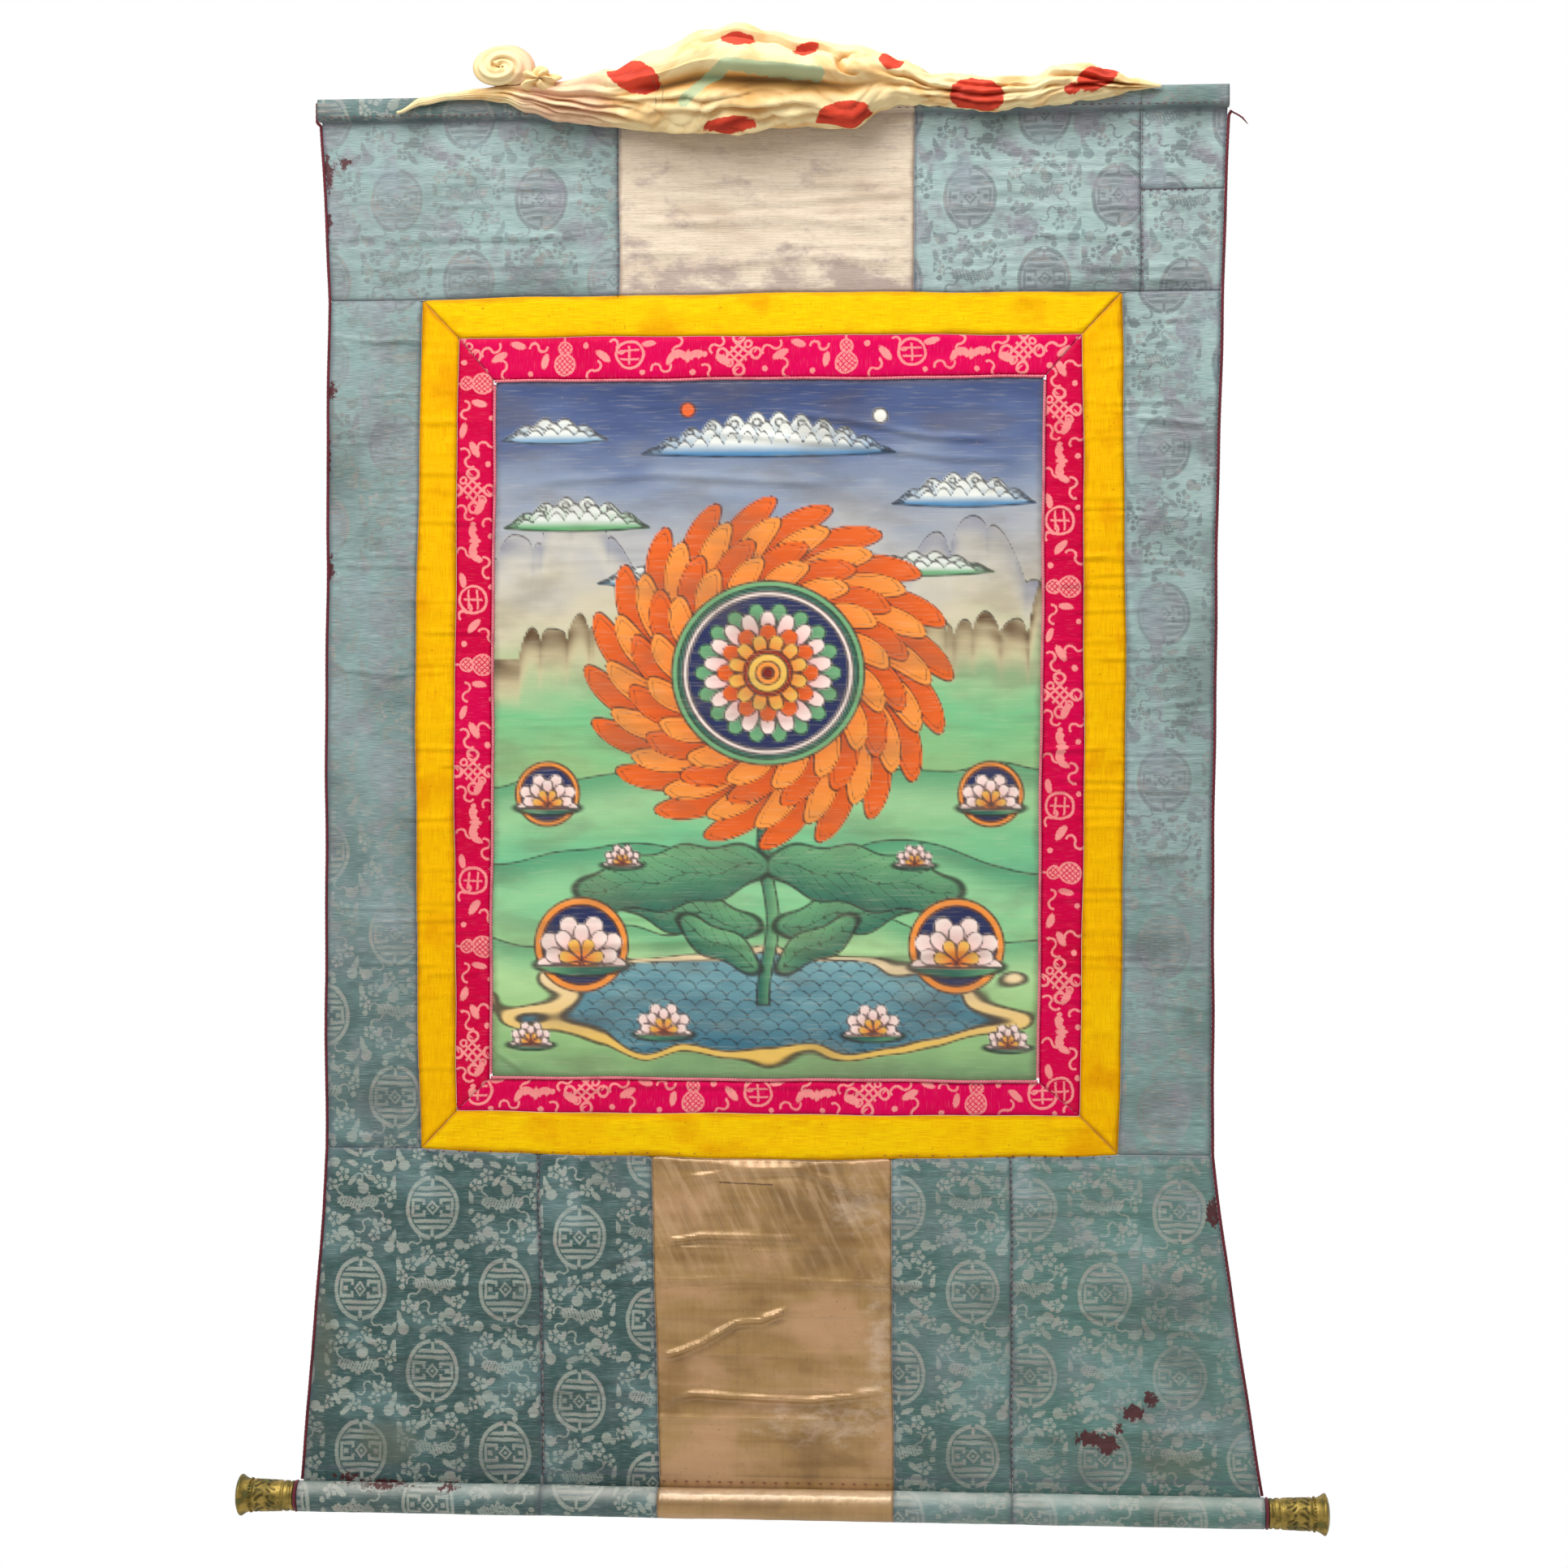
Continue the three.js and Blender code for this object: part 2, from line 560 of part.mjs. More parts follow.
function veilBody() {
  const fromX = VEIL_ROWS[0].x;
  const toX = VEIL_ROWS[VEIL_ROWS.length - 1].x;
  const tube = new THREE.CylinderGeometry(1, 1, 1, VEIL_MESH.sides, VEIL_MESH.steps);
  return shaped(tube, (p) => {
    const x = lerp(fromX, toX, p.y + 0.5);
    const row = veilRow(x);
    const angle = THREE.MathUtils.radToDeg(Math.atan2(-p.z, p.x));
    const share = Math.hypot(p.x, p.z) > 0 ? 1 - troughDepth(x, angle) : 0;
    const y = lerp(row.front, row.back, 0.5) + share * p.z * (row.back - row.front) / 2;
    const z = lerp(row.bottom, row.top, 0.5) + share * p.x * (row.top - row.bottom) / 2;
    return new THREE.Vector3(x, y, z);
  });
}

// Lump of rolled cloth with a spiral groove that winds out from its front
function rolledLump(size, sides, rings) {
  const ball = new THREE.SphereGeometry(1, sides, rings);
  return shaped(ball, (p) => {
    const fromFront = Math.acos(THREE.MathUtils.clamp(p.y, -1, 1)) / Math.PI;
    const round = Math.atan2(p.z, p.x);
    const spiral = Math.cos(round + 2 * Math.PI * size.turns * fromFront * 2);
    const share = 1 - size.groove * Math.sin(Math.PI * fromFront) * (1 + spiral) / 2;
    const x = size.x - size.wide * share * p.x;
    return new THREE.Vector3(x, size.y - size.out * share * p.y, size.z + size.tall * share * p.z);
  });
}

function hemKeepOut() {
  const reach = 900;
  const deep = 80;
  const box = new THREE.BoxGeometry(reach, deep, deep);
  const frontY = HEM.front - VEIL_CLEAR;
  return shaped(box, (p) => new THREE.Vector3(p.x, p.y + deep / 2 + frontY, p.z - deep / 2 + VEIL_CLEAR));
}

const veilLumps = solid(rolledLump(BUN, 22, 12)).add(solid(rolledLump(BOW, 12, 7)));
const veil = solid(veilBody()).add(veilLumps).subtract(solid(hemKeepOut()));
add("veil", geometryOf(veil), FINISH.veil);

export default part;
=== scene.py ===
import math

import bpy
import numpy as np
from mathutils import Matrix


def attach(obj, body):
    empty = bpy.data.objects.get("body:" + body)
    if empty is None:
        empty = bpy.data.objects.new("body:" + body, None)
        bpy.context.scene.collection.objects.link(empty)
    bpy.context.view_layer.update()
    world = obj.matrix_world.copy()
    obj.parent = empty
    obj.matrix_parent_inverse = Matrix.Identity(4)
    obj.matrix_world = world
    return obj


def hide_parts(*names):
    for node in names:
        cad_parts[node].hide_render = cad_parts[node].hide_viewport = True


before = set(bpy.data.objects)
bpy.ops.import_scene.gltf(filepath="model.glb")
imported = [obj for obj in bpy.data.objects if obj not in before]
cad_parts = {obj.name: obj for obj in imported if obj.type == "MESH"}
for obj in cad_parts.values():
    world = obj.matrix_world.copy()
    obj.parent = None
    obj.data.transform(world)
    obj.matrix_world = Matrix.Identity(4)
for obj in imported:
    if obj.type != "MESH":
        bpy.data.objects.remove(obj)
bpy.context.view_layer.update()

mm = 0.001


def srgb(r, g, b):
    return tuple(c / 255 / 12.92 if c < 11 else ((c / 255 + 0.055) / 1.055) ** 2.4 for c in (r, g, b)) + (1.0,)


# Sewn outline, in millimetres as the solids have it

hem = {"left": -373.5, "right": 374.5, "tall": 17.5, "front": -8.0, "back": 2.0}
roll = {"radius": 12.5, "axisY": -10.5, "axisZ": -1154.0, "turn": 306}
cloth = {"front": -1.0, "thick": 1.6, "gap": 0.03, "seamDip": 0.9, "seamWide": 2.4, "pucker": 0.22}
leftEdge = {"hem": -371.0, "top": -363.0, "bottom": -365.3, "roll": -388.0, "sideBow": -1.0, "footBow": 1.5}
rightEdge = {"hem": 373.5, "top": 368.0, "bottom": 360.0, "roll": 402.0, "sideBow": -3.0, "footBow": -2.0}
picture = {
    "tl": (-226.3, -234.0), "tr": (225.8, -234.5), "br": (220.1, -808.5), "bl": (-229.5, -808.3),
    "bow": {"top": 0.0, "right": 0.0, "bottom": 0.0, "left": 0.0}, "waver": 0.35,
}
magentaFrame = {
    "tl": (-256.0, -198.5), "tr": (255.8, -200.5), "br": (254.0, -836.3), "bl": (-258.0, -836.0),
    "bow": {"top": 0.5, "right": 2.5, "bottom": 0.5, "left": 2.5}, "waver": 0.45,
}
yellowFrame = {
    "tl": (-286.5, -166.5), "tr": (288.5, -166.5), "br": (285.0, -867.5), "bl": (-287.5, -867.5),
    "bow": {"top": 2.5, "right": 4.0, "bottom": 6.0, "left": 5.0}, "waver": 0.5,
}
topSeams = {"patchLeft": -123.0, "patchRight": 119.5, "farRight": 304.0, "split": -84.0}
bottomSeams = [(-190.0, -185.0), (-96.0, -89.5), (100.5, 103.0), (198.5, 199.5)]


def ease(t):
    t = np.clip(t, 0, 1)
    return t * t * (3 - 2 * t)


def bell(t):
    return np.exp(-t * t)


def lerp(a, b, t):
    return a + (b - a) * t


def waver(t, seed, amount):
    return amount * (np.sin(t / 43 + seed * 1.7) + 0.6 * np.sin(t / 17 + seed * 3.1))


def lumps(x, z, wide, tall, seed):
    table = np.random.default_rng(seed).uniform(-1, 1, (64, 64))
    across, down = x / wide, z / tall
    i, j = np.floor(across).astype(int), np.floor(down).astype(int)
    fx, fz = ease(across - i), ease(down - j)
    near = lerp(table[i % 64, j % 64], table[(i + 1) % 64, j % 64], fx)
    far = lerp(table[i % 64, (j + 1) % 64], table[(i + 1) % 64, (j + 1) % 64], fx)
    return lerp(near, far, fz)


def frameEdge(sizes, side, out=0.0):
    ends = {"top": ("tl", "tr"), "bottom": ("bl", "br"), "left": ("tl", "bl"), "right": ("tr", "br")}[side]
    spread = {"tl": (-out, out), "tr": (out, out), "br": (out, -out), "bl": (-out, -out)}
    a, b = (np.add(sizes[end], spread[end]) for end in ends)
    sign = {"top": 1, "right": 1, "bottom": -1, "left": -1}[side]
    seed = {"top": 1, "right": 2, "bottom": 3, "left": 4}[side] + sizes["waver"] * 20

    def at(s):
        x, z = lerp(a[0], b[0], s), lerp(a[1], b[1], s)
        arch = 4 * s * (1 - s)
        shift = sign * sizes["bow"][side] * arch + waver(s * 600, seed, sizes["waver"]) * np.clip(3 * arch, 0, 1)
        return (x, z + shift) if side in ("top", "bottom") else (x + shift, z)

    return at


def topSeam(x):
    a, b = yellowFrame["tl"][0], yellowFrame["tr"][0]
    return frameEdge(yellowFrame, "top")(np.clip((x - a) / (b - a), 0, 1))[1]


def bottomSeam(x):
    a, b = yellowFrame["bl"][0], yellowFrame["br"][0]
    return frameEdge(yellowFrame, "bottom")(np.clip((x - a) / (b - a), 0, 1))[1]


def yellowSide(side):
    top, foot = yellowFrame["tl"][1], yellowFrame["bl"][1]
    return lambda z: frameEdge(yellowFrame, side)(np.clip((z - top) / (foot - top), 0, 1))[0]


def outerEdge(edge):
    topZ, footZ = yellowFrame["tl"][1], yellowFrame["bl"][1]
    headZ = -hem["tall"] / 2

    def at(z):
        head = lerp(edge["hem"], edge["top"], np.clip((z - headZ) / (topZ - headZ), 0, 1))
        s = np.clip((z - topZ) / (footZ - topZ), 0, 1)
        side = lerp(edge["top"], edge["bottom"], s) + edge["sideBow"] * 4 * s * (1 - s)
        f = np.clip((z - footZ) / (roll["axisZ"] - footZ), 0, 1)
        foot = lerp(edge["bottom"], edge["roll"], f) + edge["footBow"] * 4 * f * (1 - f)
        return np.where(z > topZ, head, np.where(z > footZ, side, foot)) + waver(z, edge["hem"], 0.35)

    return at


def upright(upper, lower, seed):
    top, foot = bottomSeam(0.0), roll["axisZ"]
    return lambda z: lerp(upper, lower, np.clip((z - top) / (foot - top), 0, 1)) + waver(z, seed, 0.35)


# Lie of the hung cloth: broad swells, listed creases, and fine lines left by rolling it up

swells = [
    {"x": -40, "z": -520, "wide": 230, "tall": 300, "forward": 3.5},
    {"x": 250, "z": -420, "wide": 60, "tall": 160, "forward": 3.0},
    {"x": -330, "z": -640, "wide": 55, "tall": 220, "forward": 4.0},
    {"x": 352, "z": -560, "wide": 40, "tall": 190, "forward": 5.0},
    {"x": -352, "z": -300, "wide": 40, "tall": 110, "forward": 3.0},
    {"x": 230, "z": -90, "wide": 60, "tall": 45, "forward": 2.5},
    {"x": -250, "z": -100, "wide": 60, "tall": 45, "forward": 2.0},
    {"x": -150, "z": -1005, "wide": 38, "tall": 100, "forward": 4.0},
    {"x": 145, "z": -1000, "wide": 45, "tall": 110, "forward": 4.5},
    {"x": 300, "z": -960, "wide": 70, "tall": 70, "forward": 3.0},
    {"x": -320, "z": -1000, "wide": 60, "tall": 90, "forward": 3.0},
    {"x": 0, "z": -900, "wide": 70, "tall": 25, "forward": 2.0},
]
creases = [
    {"line": [(-92, -958), (-80, -941), (-55, -937), (36, -938)], "half": 2.3, "forward": 3.4},
    {"line": [(-90, -1039), (-55, -1025), (-25, -1007), (-6, -1006), (24, -993)], "half": 2.5, "forward": 4.0},
    {"line": [(-88, -1072), (-60, -1067), (-13, -1069), (35, -1071), (64, -1067), (102, -1062)], "half": 2.5, "forward": 3.2},
    {"line": [(-70, -890), (-28, -883), (26, -882), (51, -890), (72, -903), (92, -911)], "half": 2.8, "forward": 2.4},
    {"line": [(-94, -876), (0, -880), (99, -877)], "half": 3.0, "forward": 1.3},
    {"line": [(-60, -1108), (20, -1112), (80, -1106)], "half": 6.0, "forward": 1.2},
    {"line": [(-138, -960), (-116, -955), (-90, -948)], "half": 2.8, "forward": 2.2},
    {"line": [(-142, -1058), (-106, -1048), (-92, -1046)], "half": 2.8, "forward": 1.6},
    {"line": [(199, -993), (254, -994), (291, -1003), (337, -1009), (382, -1014)], "half": 2.6, "forward": 1.7},
    {"line": [(203, -914), (314, -914)], "half": 2.4, "forward": 1.2},
    {"line": [(-381, -1031), (-342, -1027), (-300, -1029)], "half": 2.6, "forward": 1.3},
    {"line": [(-262, -955), (-206, -961)], "half": 2.4, "forward": 1.2},
    {"line": [(-380, -1090), (-300, -1096), (-200, -1092)], "half": 5.0, "forward": 1.2},
    {"line": [(120, -1090), (250, -1097), (390, -1088)], "half": 5.0, "forward": 1.2},
    {"line": [(296, -268), (326, -271), (358, -276)], "half": 2.4, "forward": 2.2},
    {"line": [(9, -262), (64, -268), (130, -282), (190, -286)], "half": 2.6, "forward": 1.5},
    {"line": [(-60, -276), (62, -288), (150, -300), (214, -302)], "half": 3.0, "forward": 1.4},
    {"line": [(-206, -318), (-90, -312), (60, -322)], "half": 3.4, "forward": 1.2},
    {"line": [(-214, -702), (-60, -694), (96, -706), (212, -698)], "half": 3.6, "forward": 1.3},
    {"line": [(-226, -786), (-202, -802)], "half": 2.6, "forward": 1.5},
    {"line": [(-188, -813), (-169, -820), (-112, -813), (-52, -814), (52, -813), (74, -818), (104, -824)], "half": 2.2, "forward": 0.9},
    {"line": [(-330, -120), (-240, -112), (-150, -118)], "half": 3.0, "forward": 1.0},
    {"line": [(140, -128), (230, -120), (300, -124)], "half": 3.0, "forward": 1.0},
    {"line": [(-110, -74), (-20, -70), (100, -78)], "half": 5.0, "forward": 1.1},
    {"line": [(-118, -108), (10, -100), (110, -112)], "half": 5.0, "forward": 1.0},
    {"line": [(-60, -140), (40, -134), (116, -142)], "half": 4.0, "forward": 0.9},
    {"line": [(-360, -196), (-320, -200), (-292, -198)], "half": 2.0, "forward": 1.0},
    {"line": [(-358, -470), (-300, -478)], "half": 2.4, "forward": 1.0},
    {"line": [(298, -505), (362, -498)], "half": 2.4, "forward": 1.1},
    {"line": [(300, -742), (362, -750)], "half": 2.4, "forward": 1.1},
]
rollMarks = [  # zones of fine lines across the scroll
    {"x": (-364, -232), "z": (-180, -1118), "count": 84, "half": (1.1, 2.2), "forward": (0.25, 0.9)},
    {"x": (224, 362), "z": (-180, -1118), "count": 110, "half": (1.1, 2.2), "forward": (0.25, 1.0)},
    {"x": (122, 366), "z": (-26, -162), "count": 34, "half": (1.2, 2.4), "forward": (0.25, 0.9)},
    {"x": (-362, -126), "z": (-26, -162), "count": 30, "half": (1.2, 2.4), "forward": (0.25, 0.8)},
    {"x": (-222, 216), "z": (-240, -802), "count": 46, "half": (1.4, 2.8), "forward": (0.1, 0.4)},
    {"x": (-384, 396), "z": (-876, -1130), "count": 44, "half": (1.4, 3.0), "forward": (0.25, 0.9)},
    {"x": (-120, 118), "z": (-44, -162), "count": 26, "half": (1.4, 3.0), "forward": (0.25, 0.9)},
]
rng = np.random.default_rng(41)
rollLines = []
for zone in rollMarks:
    for _ in range(zone["count"]):
        span = (zone["x"][1] - zone["x"][0]) * rng.uniform(0.25, 0.9)
        middle = rng.uniform(*zone["x"])
        rollLines.append({
            "from": max(zone["x"][0], middle - span / 2), "to": min(zone["x"][1], middle + span / 2),
            "z": rng.uniform(zone["z"][1], zone["z"][0]), "slope": rng.uniform(-0.05, 0.05),
            "half": rng.uniform(*zone["half"]), "forward": rng.uniform(*zone["forward"]),
        })


def fold(x, z, line, half, forward):
    xs, zs = [p[0] for p in line], [p[1] for p in line]
    off = (z - np.interp(x, xs, zs)) / half
    taper = 0.15 * (xs[-1] - xs[0])
    hold = ease((x - xs[0]) / taper) * ease((xs[-1] - x) / taper)
    return forward * hold * (bell(off) - 0.4 * bell((off + 1.9) / 1.2))


def clothDepth(x, z):
    satin = 1 + 1.6 * bell((x - 4) / 86) * bell((z + 1000) / 120)  # the slick patch at the foot ripples most
    y = satin * (0.45 * lumps(x, z, 46, 30, 5) + 0.3 * lumps(x, z, 17, 9, 6))
    for s in swells:
        y = y - s["forward"] * bell((x - s["x"]) / s["wide"]) * bell((z - s["z"]) / s["tall"])
    for c in creases:
        y = y - fold(x, z, c["line"], c["half"], c["forward"])
    for m in rollLines:
        middle = (m["from"] + m["to"]) / 2
        line = [(m["from"], m["z"] - m["slope"] * (middle - m["from"])), (m["to"], m["z"] + m["slope"] * (m["to"] - middle))]
        y = y - fold(x, z, line, m["half"], m["forward"])
    return y * ease((-hem["tall"] - z) / 60) * ease((z - roll["axisZ"] - roll["radius"]) / 60)


def patchGrid(top, bottom, left, right, rows, cols):
    u, v = np.meshgrid(np.linspace(0, 1, cols + 1), np.linspace(0, 1, rows + 1))
    out = []
    for k in (0, 1):
        across = lerp(top(u)[k], bottom(u)[k], v) + lerp(left(v)[k], right(v)[k], u)
        corners = lerp(lerp(top(0.0)[k], top(1.0)[k], u), lerp(bottom(0.0)[k], bottom(1.0)[k], u), v)
        out.append(across - corners)
    return out[0], out[1], u, v


def sewnDepth(x, z, u, v, sewn):
    wide = np.abs(x[:, -1:] - x[:, :1])
    tall = np.abs(z[-1:, :] - z[:1, :])
    edges = {"t": (v * tall, x), "b": ((1 - v) * tall, x), "l": (u * wide, z), "r": ((1 - u) * wide, z)}
    y = clothDepth(x, z) + cloth["front"]
    for side in sewn:
        off, along = edges[side]
        ripple = np.sin(along / 1.9 + 2.2 * np.sin(along / 14)) * bell(off / 6.5)
        y = y + cloth["seamDip"] * bell(off / cloth["seamWide"]) + cloth["pucker"] * ripple
    near = np.minimum.reduce([edges[side][0] for side in "tblr"])
    return y, near


def finishMesh(mesh, points, faces, finish):
    mesh.from_pydata((np.asarray(points) * mm).tolist(), [], faces)
    mesh.polygons.foreach_set("use_smooth", [True] * len(mesh.polygons))
    mesh.materials.append(finish)


def addObject(name, mesh):
    piece = bpy.data.objects.new(name, mesh)
    bpy.context.scene.collection.objects.link(piece)
    return piece


def gridFaces(rows, cols, closed=False):
    index = np.arange(rows * cols).reshape(rows, cols)
    if closed:
        index = np.concatenate([index, index[:, :1]], 1)
    return np.stack([index[:-1, :-1], index[1:, :-1], index[1:, 1:], index[:-1, 1:]], -1).reshape(-1, 4)


def gridMesh(name, x, y, z, flat, finish, marks, closed=False):
    faces = gridFaces(*x.shape, closed)
    mesh = bpy.data.meshes.new(name)
    finishMesh(mesh, np.stack([x, y, z], -1).reshape(-1, 3), faces.tolist(), finish)
    uv = mesh.uv_layers.new(name="cloth")
    uv.data.foreach_set("uv", (np.stack(flat, -1).reshape(-1, 2) * mm)[faces.ravel()].ravel())
    for mark, values in marks.items():
        mesh.attributes.new(mark, "FLOAT", "POINT").data.foreach_set("value", np.broadcast_to(values, x.shape).ravel().astype(np.float32))
    return mesh


def declareCloth(piece, node):
    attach(piece, "root")
    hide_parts(node)


def clothSheet(node, x, y, z, flat, finish, marks):
    piece = addObject(node + "_cloth", gridMesh(node + "_cloth", x, y, z, flat, finish, marks))
    solid = piece.modifiers.new("thickness", "SOLIDIFY")
    solid.thickness = cloth["thick"] * mm
    solid.offset = -1
    declareCloth(piece, node)


def tube(name, path, radius, finish, sides=10, twist=0.0, ply=3, deep=0.0):
    path = np.asarray(path, float)
    along = np.gradient(path, axis=0)
    along /= np.linalg.norm(along, axis=1)[:, None]
    out = np.array([0.0, 1.0, 0.0]) - along * along[:, 1:2]
    out /= np.linalg.norm(out, axis=1)[:, None]
    side = np.cross(along, out)
    run = np.concatenate([[0], np.cumsum(np.linalg.norm(np.diff(path, axis=0), axis=1))])
    turn = np.arange(sides) * 2 * np.pi / sides
    wide = np.broadcast_to(np.asarray(radius, float), run.shape)[:, None]
    wide = wide * (1 - deep * (0.5 + 0.5 * np.cos(ply * turn[None, :] - twist * run[:, None])))
    ring = path[:, None, :] + wide[..., None] * (np.cos(turn)[None, :, None] * out[:, None, :] + np.sin(turn)[None, :, None] * side[:, None, :])
    rows = len(path)
    faces = gridFaces(rows, sides, True)[:, ::-1].tolist()
    faces += [list(range(sides)), list(range((rows - 1) * sides, rows * sides))[::-1]]
    mesh = bpy.data.meshes.new(name)
    finishMesh(mesh, ring.reshape(-1, 3), faces, finish)
    uv = mesh.uv_layers.new(name="cloth")
    flat = np.stack(np.broadcast_arrays(run[:, None], turn[None, :] * 2.0), -1).reshape(-1, 2) * mm
    corners = np.empty(len(mesh.loops), np.int32)
    mesh.loops.foreach_get("vertex_index", corners)
    uv.data.foreach_set("uv", flat[corners].ravel())
    return mesh


# Materials: sums on sockets become Math nodes

class Wire:
    made = {}  # a node asked for again is the one already there

    def __init__(self, tree, socket=None):
        self.tree = tree
        self.socket = socket

    def outs(self, kind, settings=None, sockets=None):
        named = {key: value.socket.path_from_id() if isinstance(value, Wire) else value for key, value in (sockets or {}).items()}
        asked = (self.tree.as_pointer(), kind, repr(settings), repr(named))
        if asked in Wire.made:
            return Wire.made[asked]
        made = self.tree.nodes.new(kind)
        for name, value in (settings or {}).items():
            if name == "stops":
                elements = made.color_ramp.elements
                elements[0].position, elements[0].color = value[0]
                elements[1].position, elements[1].color = value[-1]
                for place, colour in value[1:-1]:
                    elements.new(place).color = colour
            else:
                setattr(made, name, value)
        for key, value in (sockets or {}).items():
            if isinstance(value, Wire):
                self.tree.links.new(value.socket, made.inputs[key])
            else:
                made.inputs[key].default_value = value
        Wire.made[asked] = [Wire(self.tree, socket) for socket in made.outputs]
        return Wire.made[asked]

    def node(self, kind, settings=None, sockets=None, out=0):
        return self.outs(kind, settings, sockets)[out]

    def math(self, operation, *values):
        return self.node("ShaderNodeMath", {"operation": operation}, dict(enumerate(values)))

    def __add__(self, other):
        return self if other == 0 else self.math("ADD", self, other)

    def __sub__(self, other):
        return self if other == 0 else self.math("SUBTRACT", self, other)

    def __mul__(self, other):
        return self if other == 1 else self.math("MULTIPLY", self, other)

    def __truediv__(self, other):
        return self.math("DIVIDE", self, other)

    def __radd__(self, other):
        return self.math("ADD", other, self)

    def __rsub__(self, other):
        return self.math("SUBTRACT", other, self)

    def __rmul__(self, other):
        return self.math("MULTIPLY", other, self)

    def __neg__(self):
        return self.math("MULTIPLY", self, -1.0)

    def __abs__(self):
        return self.math("ABSOLUTE", self)

    def __pow__(self, other):
        return self.math("POWER", self, other)

    def low(self, other):
        return self.math("MINIMUM", self, other)

    def high(self, other):
        return self.math("MAXIMUM", self, other)

    def root(self):
        return self.math("SQRT", self)

    def sine(self):
        return self.math("SINE", self)

    def wrap(self, reach):
        return self.math("WRAP", self, reach, -reach)

    def step(self, start, end):
        return self.node("ShaderNodeMapRange", {"interpolation_type": "SMOOTHSTEP"}, {0: self, 1: start, 2: end})

    def inside(self, soft=0.3):
        return self.step(soft, -soft)

    def mix(self, factor, a, b, blend="MIX"):
        return self.node("ShaderNodeMix", {"data_type": "RGBA", "blend_type": blend}, {0: factor, 6: a, 7: b}, 2)

    def ramp(self, stops):
        return self.node("ShaderNodeValToRGB", {"stops": stops}, {0: self})

    def mark(self, name):
        return self.node("ShaderNodeAttribute", {"attribute_name": name}, None, 2)

    def noise(self, place, size, detail=2.0, rough=0.5):
        scaled = self.node("ShaderNodeMapping", None, {"Vector": place, "Scale": size})
        return self.node("ShaderNodeTexNoise", {"noise_dimensions": "2D"}, {"Vector": scaled, "Scale": 1.0, "Detail": detail, "Roughness": rough})


def newFinish(name, **fixed):
    finish = bpy.data.materials.new(name)
    finish.use_nodes = True
    tree = finish.node_tree
    shader = tree.nodes["Principled BSDF"]
    for socket, value in fixed.items():
        shader.inputs[socket.replace("_", " ")].default_value = value
    return finish, Wire(tree), shader


def wear(finish, colour=None, rough=None, height=None, deep=0.0004, strength=0.5):
    tree = finish.node_tree
    shader = tree.nodes["Principled BSDF"]
    if colour:
        tree.links.new(colour.socket, shader.inputs["Base Color"])
    if rough:
        tree.links.new(rough.socket, shader.inputs["Roughness"])
    if height:
        bump = height.node("ShaderNodeBump", None, {"Height": height, "Strength": strength, "Distance": deep})
        tree.links.new(bump.socket, shader.inputs["Normal"])


def clothPlace(wire):
    place = wire.node("ShaderNodeUVMap", {"uv_map": "cloth"})
    u, v, _ = wire.outs("ShaderNodeSeparateXYZ", None, {0: place})
    return place, u * 1000, v * 1000


# Distances to drawn shapes, in millimetres, less than nought inside

def away(x, y):
    return (x * x + y * y).root()


def turned(x, y, degrees):
    c, s = math.cos(math.radians(degrees)), math.sin(math.radians(degrees))
    return x * c + y * s, y * c - x * s


def disc(x, y, r):
    return away(x, y) - r


def oval(x, y, a, b):
    return (away(x * (1 / a), y * (1 / b)) - 1) * min(a, b)


def slab(x, y, a, b):
    return (abs(x) - a).high(abs(y) - b)


def rim(d, half):
    return abs(d) - half


def blossom(x, y, r):
    reach = away(x, y)
    angle = y.math("ARCTAN2", y, x)
    lobes = y.math("COSINE", angle * 5)
    split = 0.5 - abs(y.math("COSINE", angle * 2.5)) * reach * 0.35
    return (reach - (lobes * 0.14 + 0.86) * r).high(r * 0.2 - reach).high(split)


def gourd(x, y, r, degrees):
    a, b = turned(x, y, degrees)
    body = disc(a, b, r).low(disc(a - r * 1.35, b, r * 0.62))
    return body.low(rim(disc(a - r * 2.2, b - r * 0.5, r * 0.55), 0.55).high(b * -1 + r * 0.3))


def curl(x, y, r, half):
    return rim(away(x + y.math("SIGN", y) * r, y) - r, half)


def leaf(x, y, long, degrees):
    a, b = turned(x, y, degrees)
    return oval(a, b, long, long * 0.46)


def bat(x, y, r):
    side = abs(x)
    wing = oval(side - r * 0.52, y - side * 0.2, r * 0.5, r * 0.3)
    bite = disc(side - r * 0.5, y + r * 0.26, r * 0.2)
    return wing.high(-bite).low(oval(x, y, r * 0.17, r * 0.36))


def fretMedallion(x, y):
    side, up = abs(x), abs(y * 0.83)
    reach = away(x, y * 0.83)
    shape = rim(reach - 20.4, 1.5).high(1.7 - side)
    shape = shape.low(slab(x, up - 16.8, 1.3, 3.2))
    shape = shape.low(rim(up - 13.4, 1.25).low(rim(up - 9.3, 1.25)).high(reach - 17.8))
    key = rim(slab(side - 11.6, y * 0.83, 4.6, 5.2), 1.15).high(-slab(side - 7.0, y * 0.83, 1.6, 2.0))
    shape = shape.low(key).low(slab(side - 12.6, y * 0.83, 1.9, 1.6))
    return shape.low(rim(side + up - 4.4, 1.1)).low(disc(x, y, 1.4))


print("helpers ready")

# Blue brocade: fret medallions in a half-drop repeat, blossoms, leaves and bats between them

